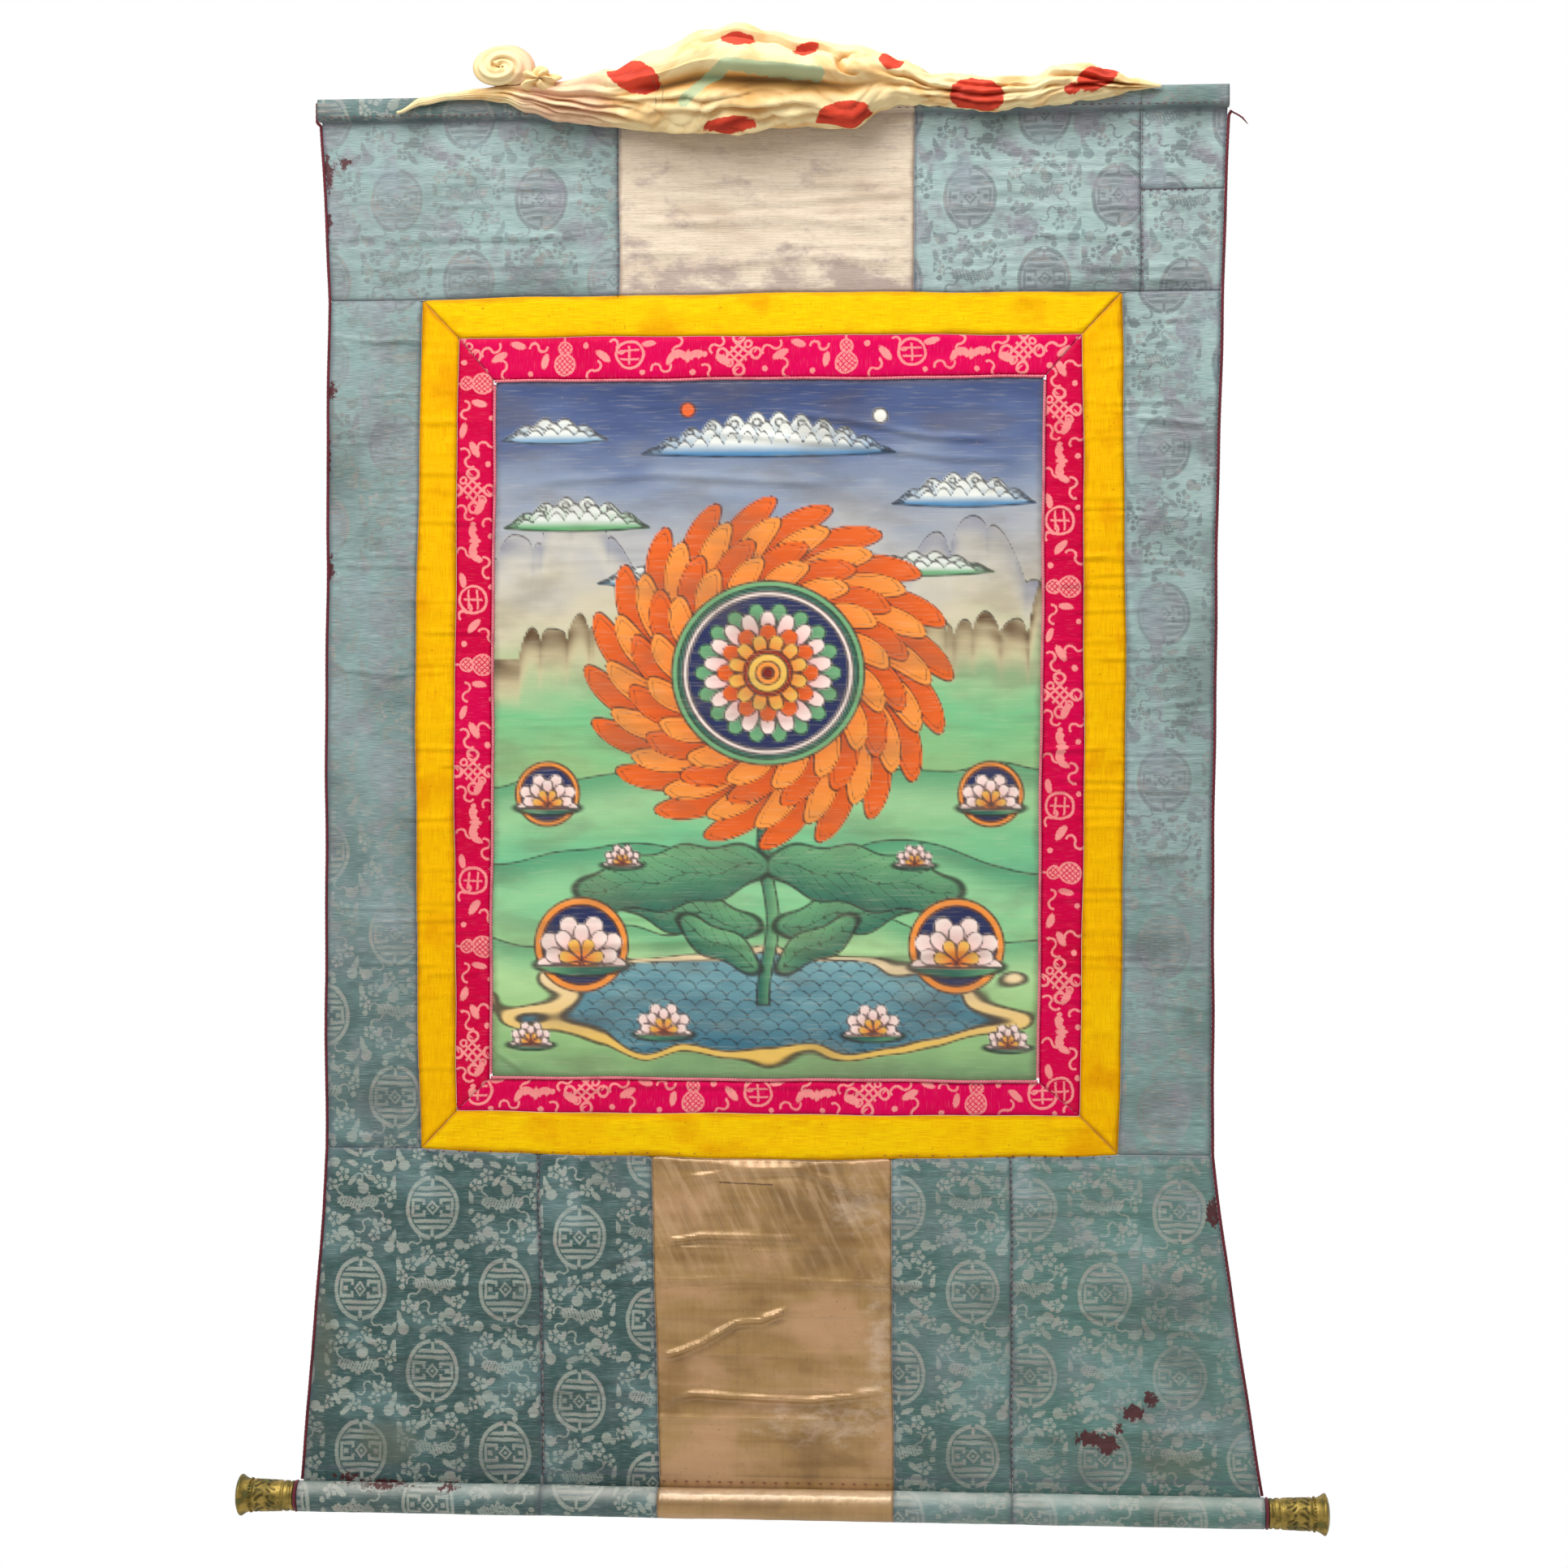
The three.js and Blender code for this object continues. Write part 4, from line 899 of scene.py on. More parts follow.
def makePaintedCotton():
    finish, wire, _ = newFinish("painted_cotton", Specular_IOR_Level=0.25)
    place, x, y = clothPlace(wire)
    colour = wire.node("ShaderNodeAttribute", {"attribute_name": "paint"}, None, 0)
    wash = wire.noise(place, (12, 30, 1), 4.0)
    brush = wire.noise(place, (40, 520, 1), 3.0)
    flake = wire.noise(place, (420, 160, 1), 4.0, 0.7)
    line = wire.mark("line") + (wire.noise(place, (110, 110, 1), 2.0) - 0.5) * 0.3
    colour = wire.mix(line.step(1.75, 0.15) * 0.85, colour, srgb(44, 34, 38))
    colour = wire.mix(brush.step(0.5, 0.85) * 0.14, colour, srgb(224, 212, 182))
    colour = wire.mix(wash.step(0.46, 0.72) * 0.3, colour, srgb(104, 92, 76))
    colour = wire.mix(flake.step(0.72, 0.79) * 0.45, colour, srgb(226, 206, 172))
    # Darker near the painting's edges: partly painted shade under the piping, partly staining
    edge = wire.mark("edge") + (wash - 0.5) * 10
    colour = wire.mix(edge.step(6.0, -1.0) * 0.4, colour, srgb(94, 84, 70))
    weave = (x * 5.2).sine() + (y * 5.2).sine()
    wear(finish, colour, 0.78 - flake * 0.1, weave * 0.12 + brush * 0.4 + flake * 0.5, 0.0003, 0.5)
    return finish


cottonBack = {"base": srgb(206, 192, 166), "stain": srgb(150, 128, 100)}


def makeCottonBack():
    finish, wire, _ = newFinish("cotton_back", Specular_IOR_Level=0.25)
    place, x, y = clothPlace(wire)
    blotch = wire.noise(place, (14, 20, 1), 4.0)
    weave = (x * 5.2).sine() + (y * 5.2).sine()
    wear(finish, wire.mix(blotch.step(0.4, 0.75) * 0.6, cottonBack["base"], cottonBack["stain"]), 0.8 + blotch * 0.1, weave * 0.15 + blotch * 0.5, 0.0003, 0.5)
    return finish


print("painting ready")

# Cords, brass and veil

cordPaint = {"pink": srgb(226, 128, 138), "pinkDeep": srgb(176, 52, 84), "red": srgb(112, 20, 38), "redDeep": srgb(58, 8, 18), "thread": srgb(74, 28, 36)}


def makeCord(name, base, deep):
    finish, wire, _ = newFinish(name, Sheen_Weight=0.2, Specular_IOR_Level=0.3)
    place, u, v = clothPlace(wire)
    ply = (u * 2.6 + v * 0.9).sine() * 0.5 + 0.5
    blotch = wire.noise(place, (60, 60, 1), 4.0)
    colour = wire.mix(ply * 0.6, base, deep)
    colour = wire.mix(blotch.step(0.48, 0.7) * 0.45, colour, deep)
    wear(finish, colour, 0.6 + blotch * 0.15, ply, 0.0003, 0.6)
    return finish


def makeThread():
    finish, wire, _ = newFinish("seam_thread", Sheen_Weight=0.2, Specular_IOR_Level=0.3)
    place = wire.node("ShaderNodeTexCoord", None, None, 3)
    blotch = wire.node("ShaderNodeTexNoise", None, {"Vector": place, "Scale": 180.0, "Detail": 2.0})
    wear(finish, wire.mix(blotch, srgb(76, 30, 38), srgb(150, 62, 60)), 0.6 + blotch * 0.2)
    return finish


brass = {"bright": srgb(160, 136, 68), "dull": srgb(102, 88, 42), "green": srgb(104, 116, 72), "pit": srgb(46, 40, 24)}


def makeBrass():
    finish, wire, _ = newFinish("aged_brass", Metallic=0.85)
    place = wire.node("ShaderNodeTexCoord", None, None, 3)
    cloudy = wire.node("ShaderNodeTexNoise", None, {"Vector": place, "Scale": 120.0, "Detail": 4.0})
    pits = wire.node("ShaderNodeTexNoise", None, {"Vector": place, "Scale": 700.0, "Detail": 3.0, "Roughness": 0.65})
    colour = wire.mix(cloudy.step(0.35, 0.65), brass["bright"], brass["dull"])
    colour = wire.mix(cloudy.step(0.55, 0.75) * 0.6, colour, brass["green"])
    colour = wire.mix(wire.mark("groove") * 0.75, colour, brass["pit"])
    colour = wire.mix(pits.step(0.6, 0.72) * 0.7, colour, brass["pit"])
    wear(finish, colour, 0.34 + cloudy * 0.3, pits * 0.5 + cloudy * 0.5, 0.0005, 0.6)
    return finish


veilPaint = {"base": srgb(236, 214, 162), "warm": srgb(206, 146, 66), "deep": srgb(104, 72, 38), "pink": srgb(216, 170, 148), "dot": srgb(212, 36, 0), "dotDeep": srgb(168, 14, 0), "green": srgb(156, 178, 140), "ink": srgb(96, 82, 84)}


def makeVeilSilk():
    p = veilPaint
    finish, wire, shader = newFinish("veil_silk", Specular_IOR_Level=0.3, Subsurface_Weight=0.06)
    shader.inputs["Subsurface Radius"].default_value = (0.004, 0.003, 0.002)
    place, u, v = clothPlace(wire)
    blotch = wire.noise(place, (26, 40, 1), 4.0)
    thread = wire.noise(place, (90, 1500, 1), 3.0)
    # Painted shade: warm and deep brown in the fold hollows, the red dots darker there too
    hollow = wire.mark("hollow")
    colour = wire.mix(blotch.step(0.42, 0.75) * 0.6, p["base"], p["warm"])
    colour = wire.mix(hollow.step(0.1, 0.7) * 0.85, colour, p["warm"])
    colour = wire.mix(hollow.step(0.45, 1.1) * 0.7, colour, p["deep"])
    colour = wire.mix(wire.mark("blush") * (0.3 + blotch * 0.6), colour, p["pink"])
    ragged = (wire.noise(place, (160, 160, 1), 3.0) - 0.5) * 3
    colour = wire.mix((wire.mark("green") + ragged).inside(0.6) * 0.85, colour, p["green"])
    spot = (wire.mark("dot") + ragged).inside(0.5)
    colour = wire.mix(spot * 0.95, colour, wire.mix((blotch + hollow * 0.6).step(0.35, 0.9), p["dot"], p["dotDeep"]))
    colour = wire.mix((wire.mark("ink") + ragged * 0.2).inside(0.4) * 0.6, colour, p["ink"])
    wear(finish, colour, 0.56 + blotch * 0.12, thread + blotch, 0.0003, 0.4)
    return finish


blueSilk = makeBlueBrocade()
goldFinish = makeGoldSatin()
creamFinish = makeCreamSilk()
yellowFinish = makeYellowSilk()
magentaFinish = makeMagentaBrocade()
paintedFinish = makePaintedCotton()
cottonFinish = makeCottonBack()
pinkCord = makeCord("pink_piping", cordPaint["pink"], cordPaint["pinkDeep"])
redCord = makeCord("red_piping", cordPaint["red"], cordPaint["redDeep"])
threadFinish = makeThread()
brassFinish = makeBrass()
veilFinish = makeVeilSilk()
print("finishes ready")


# Stains and tears on the blue silk: x, z, half width, half height

tears = [
    (262, -1098, 11, 6), (276, -1103, 9, 8), (297, -1077, 9, 6), (311, -1066, 5, 6), (286, -1090, 4, 3), (361, -914, 5, 11),
    (-366, -240, 8, 6), (-364, -388, 4, 9), (-366, -300, 3, 16), (-352, -52, 5, 4), (-366, -60, 4, 14), (-366, -104, 3, 10), (-350, -1140, 7, 3), (-318, -1144, 16, 2), (-262, -1145, 6, 2),
]
soils = [(-317, -1110, 24, 18), (-370, -1030, 10, 60), (330, -1120, 40, 16)]


def spotDistance(x, z, spots):
    d = np.full(np.shape(x), 60.0)
    for cx, cz, a, b in spots:
        d = np.minimum(d, (np.hypot((x - cx) / a, (z - cz) / b) - 1) * min(a, b))
    return d


# Fade mark on the blue silk, partly fading and partly painted sheen: high near the top, low at the foot, lower again on
# the hem
def fadeAndSheenAt(z):
    return np.interp(z, [-1200, -870, -860, -720, -600, -420, -170, -20, -17.9, 20], [0.0, 0.08, 0.36, 0.46, 0.58, 0.72, 0.84, 0.94, 0.4, 0.4])


# The worn mark carries the painted highlight along the roll's upper front, with some wear
def blueMarks(x, z, near, worn=0.0):
    return {"worn": worn, "fade": fadeAndSheenAt(z) + 0.2 * x / 370 + 0.12 * lumps(x, z, 60, 40, 9), "edge": near, "tear": spotDistance(x, z, tears), "soil": spotDistance(x, z, soils)}


# Painting and its two mitred borders

pictureCord = {"radius": 1.3, "inset": 1.1, "proud": 0.5}
paintingGrid = {"front": (337, 266), "back": (90, 72), "thick": 1.6}


def paintingFace(rows, cols, back):
    x, z, u, v = patchGrid(*(frameEdge(picture, side, -pictureCord["inset"]) for side in ("top", "bottom", "left", "right")), rows, cols)
    y, near = sewnDepth(x, z, u, v, "tblr")
    colour, line = paintPicture(x, z + 521.3, 1.7)
    flat = (x, z + 521.3)
    if back:
        x, y, z, near, line, flat = x[:, ::-1], y[:, ::-1] + paintingGrid["thick"], z[:, ::-1], near[:, ::-1], line[:, ::-1], (x[:, ::-1], z[:, ::-1] + 521.3)
    mesh = gridMesh("painting_face", x, y, z, flat, cottonFinish if back else paintedFinish, {"edge": near, "line": line})
    mark = mesh.attributes.new("paint", "FLOAT_COLOR", "POINT")
    mark.data.foreach_set("color", np.concatenate([colour, np.ones_like(colour[..., :1])], -1).ravel().astype(np.float32))
    return addObject("painting_face", mesh), flat


def joined(bits, name):
    with bpy.context.temp_override(active_object=bits[0], selected_editable_objects=bits, selected_objects=bits):
        bpy.ops.object.join()
    bits[0].name = name
    return bits[0]


front, flat = paintingFace(*paintingGrid["front"], False)
back, _ = paintingFace(*paintingGrid["back"], True)
declareCloth(joined([front, back], "painting_cloth"), "painting")

borders = {
    "magenta": {"outer": magentaFrame, "inner": picture, "out": 1.1, "finish": magentaFinish, "slot": "magenta_brocade", "shift": {"top": 24, "bottom": 150, "left": 92, "right": 30}},
    "yellow": {"outer": yellowFrame, "inner": magentaFrame, "out": 0.1, "finish": yellowFinish, "slot": "yellow_silk", "shift": {"top": 0, "bottom": 400, "left": 900, "right": 1700}},
}


def straight(a, b):
    return lambda s: (lerp(a[0], b[0], s), lerp(a[1], b[1], s))


def borderStrip(name, side):
    b = borders[name]
    outer = frameEdge(b["outer"], side, -cloth["gap"])
    inner = frameEdge(b["inner"], side, b["out"])
    mitre = cloth["gap"]
    if side in ("top", "bottom"):
        first, last = (outer, inner) if side == "top" else (inner, outer)
        pull = lambda edge: lambda s: (edge(s)[0] - mitre * (2 * s - 1), edge(s)[1])
        first, last = pull(first), pull(last)
        x, z, u, v = patchGrid(first, last, straight(first(0.0), last(0.0)), straight(first(1.0), last(1.0)), 17, 260)
        middle = (b["outer"]["tl"][1] + b["inner"]["tl"][1]) / 2 if side == "top" else (b["outer"]["bl"][1] + b["inner"]["bl"][1]) / 2
        flat = (x + b["shift"][side], z - middle)
    else:
        first, last = (outer, inner) if side == "left" else (inner, outer)
        pull = lambda edge: lambda s: (edge(s)[0], edge(s)[1] + mitre * (2 * s - 1))
        first, last = pull(first), pull(last)
        x, z, u, v = patchGrid(straight(first(0.0), last(0.0)), straight(first(1.0), last(1.0)), first, last, 400, 12)
        middle = (b["outer"]["tl"][0] + b["inner"]["tl"][0]) / 2 if side == "left" else (b["outer"]["tr"][0] + b["inner"]["tr"][0]) / 2
        flat = (z + b["shift"][side], middle - x)
    y, near = sewnDepth(x, z, u, v, "tblr")
    shade = 0.12 if side in ("top", "bottom") else 0.55
    clothSheet(f"{name}_{side}", x, y, z, flat, b["finish"], {"edge": near, "fade": shade + 0.25 * lumps(x, z, 50, 50, 12)})


for name in borders:
    for side in ("top", "bottom", "left", "right"):
        borderStrip(name, side)


def addCord(node, slotName, path, radius, finish, **shape):
    piece = addObject(node + "_cord", tube(node + "_cord", path, radius, finish, **shape))
    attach(piece, "root")
    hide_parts(node)
    return piece


for side in ("top", "bottom", "left", "right"):
    upDown = side in ("left", "right")
    s = np.linspace(0.005 if upDown else 0.0, 0.995 if upDown else 1.0, 430 if upDown else 340)
    px, pz = frameEdge(picture, side)(s)
    py = clothDepth(px, pz) - pictureCord["proud"]
    addCord(f"painting_piping_{side}", "pink_cord", np.stack([px, py, pz], 1), pictureCord["radius"], pinkCord, twist=1.4, deep=0.16)
print("painting and borders done")

# Blue and cream panels across the head, folded over into the hem

hemPath = [(2.0, -17.5), (2.0, -9.0), (2.0, -3.0), (1.4, -1.0), (0.0, -0.1), (-3.0, 0.0), (-5.6, -0.1), (-7.2, -0.9), (-7.9, -2.6), (-8.3, -6.0), (-8.5, -9.5), (-8.3, -13.0), (-7.8, -15.6), (-6.6, -17.2), (-4.6, -17.8), (-2.6, -18.0), (-1.4, -18.6)]
headPanels = {
    "top_left": {"left": outerEdge(leftEdge), "right": upright(topSeams["patchLeft"], topSeams["patchLeft"], 3), "hemLeft": hem["left"], "hemRight": None, "top": None, "bottom": None, "shift": (308, 84), "sewn": "rb"},
    "top_patch": {"left": upright(topSeams["patchLeft"], topSeams["patchLeft"], 3), "right": upright(topSeams["patchRight"], topSeams["patchRight"], 5), "hemLeft": None, "hemRight": None, "top": None, "bottom": None, "shift": (0, 0), "sewn": "lrb"},
    "top_right": {"left": upright(topSeams["patchRight"], topSeams["patchRight"], 5), "right": upright(topSeams["farRight"], topSeams["farRight"], 7), "hemLeft": None, "hemRight": None, "top": None, "bottom": None, "shift": (-165, 88), "sewn": "lrb"},
    "top_far_right_upper": {"left": upright(topSeams["farRight"], topSeams["farRight"], 7), "right": outerEdge(rightEdge), "hemLeft": None, "hemRight": hem["right"], "top": None, "bottom": topSeams["split"], "shift": (-322, 96), "sewn": "lb"},
    "top_far_right_lower": {"left": upright(topSeams["farRight"], topSeams["farRight"], 7), "right": outerEdge(rightEdge), "hemLeft": None, "hemRight": None, "top": topSeams["split"], "bottom": None, "shift": (-340, 30), "sewn": "ltb"},
}


def finePath(points, step):
    p = np.array(points, float)
    run = np.concatenate([[0], np.cumsum(np.linalg.norm(np.diff(p, axis=0), axis=1))])
    t = np.linspace(0, run[-1], max(2, int(round(run[-1] / step)) + 1))
    return np.stack([np.interp(t, run, p[:, k]) for k in (0, 1)], 1), t


def headPanel(node):
    p = headPanels[node]
    gap = cloth["gap"]
    hasHem = p["top"] is None
    startZ = hemPath[-1][1] if hasHem else p["top"] - gap
    footZ = p["bottom"] + gap if p["bottom"] else None
    meanFoot = footZ if footZ else -166.5
    left, right = p["left"](np.array(meanFoot)), p["right"](np.array(meanFoot))
    cols = max(20, int((right - left) / 3.0))
    rows = int((startZ - meanFoot) / 2.2)
    u, v = np.meshgrid(np.linspace(0, 1, cols + 1), np.linspace(0, 1, rows + 1))
    rowZ = lerp(startZ, meanFoot, v)
    x = lerp(p["left"](rowZ) + gap, p["right"](rowZ) - gap, u)
    z = lerp(startZ, footZ if footZ else topSeam(x) + gap, v)
    y, near = sewnDepth(x, z, u, v, p["sewn"])
    flatV = z
    if hasHem:
        path, run = finePath(hemPath, 1.6)
        h = np.linspace(0, 1, cols + 1)[None, :]
        hx = lerp(p["hemLeft"] if p["hemLeft"] else x[0, 0], p["hemRight"] if p["hemRight"] else x[0, -1], h) + 0 * path[:-1, :1]
        wave = 0.3 * lumps(hx, np.zeros_like(hx), 26, 10, 15) + 0.18 * lumps(hx, path[:-1, 1:] + 0 * hx, 7, 6, 16)
        hy = path[:-1, :1] + wave * (path[:-1, :1] < 0)
        hz = path[:-1, 1:] + 0.5 * wave * (path[:-1, 1:] > -1.5) + 0 * hx
        back = (run[:-1] - run[-1])[:, None]
        x, y, z = np.concatenate([hx, x]), np.concatenate([hy, y]), np.concatenate([hz, z])
        flatV = np.concatenate([startZ - back + 0 * hx, flatV])
        near = np.concatenate([np.minimum(6 - 0.0 * hx, np.abs(hz + 17.6) + 2), near])
    flat = (x + p["shift"][0], flatV + p["shift"][1])
    if node == "top_patch":
        clothSheet(node, x, y, z, flat, creamFinish, {"edge": near})
    else:
        clothSheet(node, x, y, z, flat, blueSilk, blueMarks(x, z, near))


for node in headPanels:
    headPanel(node)

# Long side strips

sideStrips = {
    "side_left": {"left": outerEdge(leftEdge), "right": yellowSide("left"), "shift": (309, 690), "sewn": "trb"},
    "side_right": {"left": yellowSide("right"), "right": outerEdge(rightEdge), "shift": (-322, 563), "sewn": "tlb"},
}
for node, p in sideStrips.items():
    u, v = np.meshgrid(np.linspace(0, 1, 23), np.linspace(0, 1, 441))
    rowZ = lerp(-166.5, -867.5, v)
    x = lerp(p["left"](rowZ) + cloth["gap"], p["right"](rowZ) - cloth["gap"], u)
    z = lerp(topSeam(x) - cloth["gap"], bottomSeam(x) + cloth["gap"], v)
    y, near = sewnDepth(x, z, u, v, p["sewn"])
    clothSheet(node, x, y, z, (x + p["shift"][0], z + p["shift"][1]), blueSilk, blueMarks(x, z, near))
print("head and sides done")

# Foot panels, wound once round the roll at their lower ends

seamLines = [outerEdge(leftEdge)] + [upright(a, b, k + 11) for k, (a, b) in enumerate(bottomSeams)] + [outerEdge(rightEdge)]
footPanels = {
    "bottom_outer_left": {"seams": (0, 1), "shift": (278, 916), "sewn": "tr"},
    "bottom_inner_left": {"seams": (1, 2), "shift": (155.5, 939), "sewn": "tlr"},
    "bottom_patch": {"seams": (2, 3), "shift": (0, 0), "sewn": "tlr"},
    "bottom_inner_right": {"seams": (3, 4), "shift": (-107, 912), "sewn": "tlr"},
    "bottom_outer_right": {"seams": (4, 5), "shift": (-214, 913), "sewn": "tl"},
}
inner = roll["radius"] - cloth["thick"]
sheetFoot = roll["axisZ"] + 20
rollPath = [(cloth["front"], sheetFoot), (cloth["front"] + 0.1, roll["axisZ"] + 13), (cloth["front"] + 0.6, roll["axisZ"] + 7)]
for a in np.radians(np.arange(0, roll["turn"] + 1, 6)):
    rollPath.append((roll["axisY"] + inner * math.cos(a), roll["axisZ"] - inner * math.sin(a)))


def footPanel(node):
    p = footPanels[node]
    gap = cloth["gap"]
    left, right = seamLines[p["seams"][0]], seamLines[p["seams"][1]]
    cols = int((right(np.array(-900.0)) - left(np.array(-900.0))) / 2.6)
    rows = int((-867.5 - sheetFoot) / 1.9)
    u, v = np.meshgrid(np.linspace(0, 1, cols + 1), np.linspace(0, 1, rows + 1))
    rowZ = lerp(-867.5, sheetFoot, v)
    x = lerp(left(rowZ) + gap, right(rowZ) - gap, u)
    z = lerp(bottomSeam(x) - gap, sheetFoot, v)
    y, near = sewnDepth(x, z, u, v, p["sewn"])
    path, run = finePath(rollPath, 1.7)
    path, run = path[1:], run[1:]
    rx = x[-1:, :] + 0 * path[:, :1]
    ends = (left(np.array(roll["axisZ"])) + gap, right(np.array(roll["axisZ"])) - gap)
    rx = lerp(rx, lerp(ends[0], ends[1], u[:1]), ease(run / 20)[:, None])
    angle = np.arctan2(roll["axisZ"] - path[:, 1], path[:, 0] - roll["axisY"])[:, None]
    bulge = (0.3 * lumps(rx, 40 * angle, 34, 30, 21) + 0.12 * lumps(rx, 40 * angle, 8, 12, 22)) * ease((run - 18) / 12)[:, None]
    ry = path[:, :1] + bulge * np.cos(angle)
    rz = path[:, 1:] - bulge * np.sin(angle)
    # Painted highlight, with some wear: a paler band along the upper front of the roll, where the light from above
    # catches it
    rubAndHighlight = bell((np.degrees(angle) % 360 - 238) / 34) * ease((run - 30) / 8)[:, None]
    worn = np.concatenate([0 * z, rubAndHighlight + 0 * rx])
    flatV = np.concatenate([z, sheetFoot - run[:, None] + 0 * rx])
    x, y, z = np.concatenate([x, rx]), np.concatenate([y, ry]), np.concatenate([z, rz])
    near = np.concatenate([near, np.minimum(12, np.minimum(u[:1], 1 - u[:1]) * (x[-1, -1] - x[-1, 0])) + 0 * rx])
    flat = (x + p["shift"][0], flatV + p["shift"][1])
    if node == "bottom_patch":
        clothSheet(node, x, y, z, flat, goldFinish, {"edge": near, "worn": worn})
    else:
        clothSheet(node, x, y, z, flat, blueSilk, blueMarks(x, z, near, worn))


for node in footPanels:
    footPanel(node)
print("foot and roll done")

# Red piping down both edges, the loose thread and the rings at the roll's ends

edgeCord = {"radius": 1.4, "offset": 1.35, "twist": 1.5, "deep": 0.16}
endZ = roll["axisZ"] + 12.9 - 1.4
for side, edge, sign in (("left", leftEdge, -1), ("right", rightEdge, 1)):
    z = np.linspace(-17.5 if side == "left" else -20.5, endZ, 900)
    x = outerEdge(edge)(z) + sign * edgeCord["offset"]
    if side == "left":
        z = np.concatenate([np.linspace(-2, -16.5, 14), z])
        x = np.concatenate([np.full(14, hem["left"] - 1.7), x])
        x = np.minimum(x, lerp(hem["left"] - 1.7, x, ease((-17.5 - z) / 4)))
    else:
        x = np.where(z > -30, lerp(hem["right"] + 1.7, x, ease((-20.5 - z) / 4)), x)
    y = clothDepth(x - sign * edgeCord["offset"], z)
    addCord(f"edge_piping_{side}", "red_cord", np.stack([x, y, z], 1), edgeCord["radius"], redCord, twist=edgeCord["twist"], deep=edgeCord["deep"])

looseThread = {"route": [(377, -21.6), (380.5, -23.4), (385.3, -26.6), (389.5, -31.5)], "radius": 0.8}
route = np.array(looseThread["route"])
run = np.linspace(0, 3, 40)
threadPath = np.stack([np.interp(run, range(4), route[:, 0]), 0.3 * np.sin(run * 3), np.interp(run, range(4), route[:, 1])], 1)
addCord("loose_thread", "red_cord", threadPath, looseThread["radius"] * (1 - 0.5 * ease((run - 2) / 1)), redCord, twist=2.2, deep=0.2)

rollRing = {"radius": 12.9, "thick": 2.6}
cap = {"long": 47.0, "innerRadius": 12.2, "outerRadius": 13.6, "groove": 0.9, "flareRadius": 16.8, "flareLong": 12.0, "rim": 3.0, "sides": 98}


def lathe(name, profile, startX, sign, finish, sides, carve=None):
    profile = np.array(profile, float)
    turn = np.arange(sides) * 2 * np.pi / sides
    long, reach = profile[:, 1][:, None], profile[:, 0][:, None] + 0 * turn[None, :]
    groove = np.zeros_like(reach)
    if carve:
        groove = carve(long + 0 * reach, turn[None, :] + 0 * reach)
        reach = reach - groove * 0.45
    x = startX + sign * (long + 0 * reach)
    y = roll["axisY"] + reach * np.cos(turn)
    z = roll["axisZ"] + reach * np.sin(turn)
    mesh = bpy.data.meshes.new(name)
    faces = gridFaces(*x.shape, True)
    finishMesh(mesh, np.stack([x, y, z], -1).reshape(-1, 3), (faces if sign < 0 else faces[:, ::-1]).tolist(), finish)
    mesh.attributes.new("groove", "FLOAT", "POINT").data.foreach_set("value", groove.ravel().astype(np.float32))
    uv = mesh.uv_layers.new(name="cloth")
    flat = np.stack(np.broadcast_arrays(turn[None, :] * 13, long + 0 * reach), -1).reshape(-1, 2) * mm
    uv.data.foreach_set("uv", flat[faces.ravel() if sign < 0 else faces[:, ::-1].ravel()].ravel())
    return mesh


def capProfile():
    body = cap["long"] - cap["flareLong"]
    rows = [(0.0, 0.0), (6.0, 0.0), (cap["innerRadius"] - 0.6, 0.0), (cap["innerRadius"], 0.5)]
    for t in np.linspace(0.02, 1, 60):
        dent = cap["groove"] * (bell((t - 0.1) / 0.028) + bell((t - 0.26) / 0.028) + bell((t - 1.0) / 0.04))
        rows.append((lerp(cap["innerRadius"], cap["outerRadius"], t) - dent, t * body))
    for t in np.linspace(0.04, 1, 16):
        rows.append((lerp(cap["outerRadius"] - cap["groove"], cap["flareRadius"], t ** 1.7), lerp(body, cap["long"] - cap["rim"], t)))
    for a in np.linspace(0.1, 1, 8) * math.pi / 2:
        rows.append((cap["flareRadius"] - 1.5 * (1 - math.cos(a)), cap["long"] - cap["rim"] / 2 + 1.5 * math.sin(a) - 1.0))
    for t in np.linspace(0.12, 1, 12):
        rows.append(((cap["flareRadius"] - 1.5) * (1 - t), cap["long"] + cap["rim"] / 2 * (1 - (1 - t) ** 2) - 0.9 * bell((t - 0.2) / 0.08)))
    return rows


def scrollCarve(long, turn):
    scroll = np.sin(7 * turn + 3 * np.sin(long / 3.4)) * np.sin(long / 2.3 + 2 * np.cos(7 * turn))
    on = ease((long - 10.5) / 2) * ease((33 - long) / 2)
    return on * ease((scroll - 0.05) / 0.5)


for side, edge, sign in (("left", leftEdge, -1), ("right", rightEdge, 1)):
    start = edge["roll"] + sign * 0.3
    ringProfile = [(0, 0), (11.4, 0), (12.4, 0.25), (12.85, 0.8), (12.9, 1.3), (12.85, 1.8), (12.4, 2.35), (11.4, 2.6), (0, 2.6)]
    ring = addObject(f"roll_ring_{side}_wrap", lathe(f"roll_ring_{side}_wrap", ringProfile, start, sign, redCord, 64))
    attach(ring, "root")
    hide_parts(f"roll_ring_{side}")
    metal = addObject(f"cap_{side}_brass", lathe(f"cap_{side}_brass", capProfile(), start + sign * 2.9, sign, brassFinish, cap["sides"], scrollCarve))
    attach(metal, "root")
    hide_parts(f"cap_{side}")
print("cords, rings and caps done")

# Veil gathered along the top edge

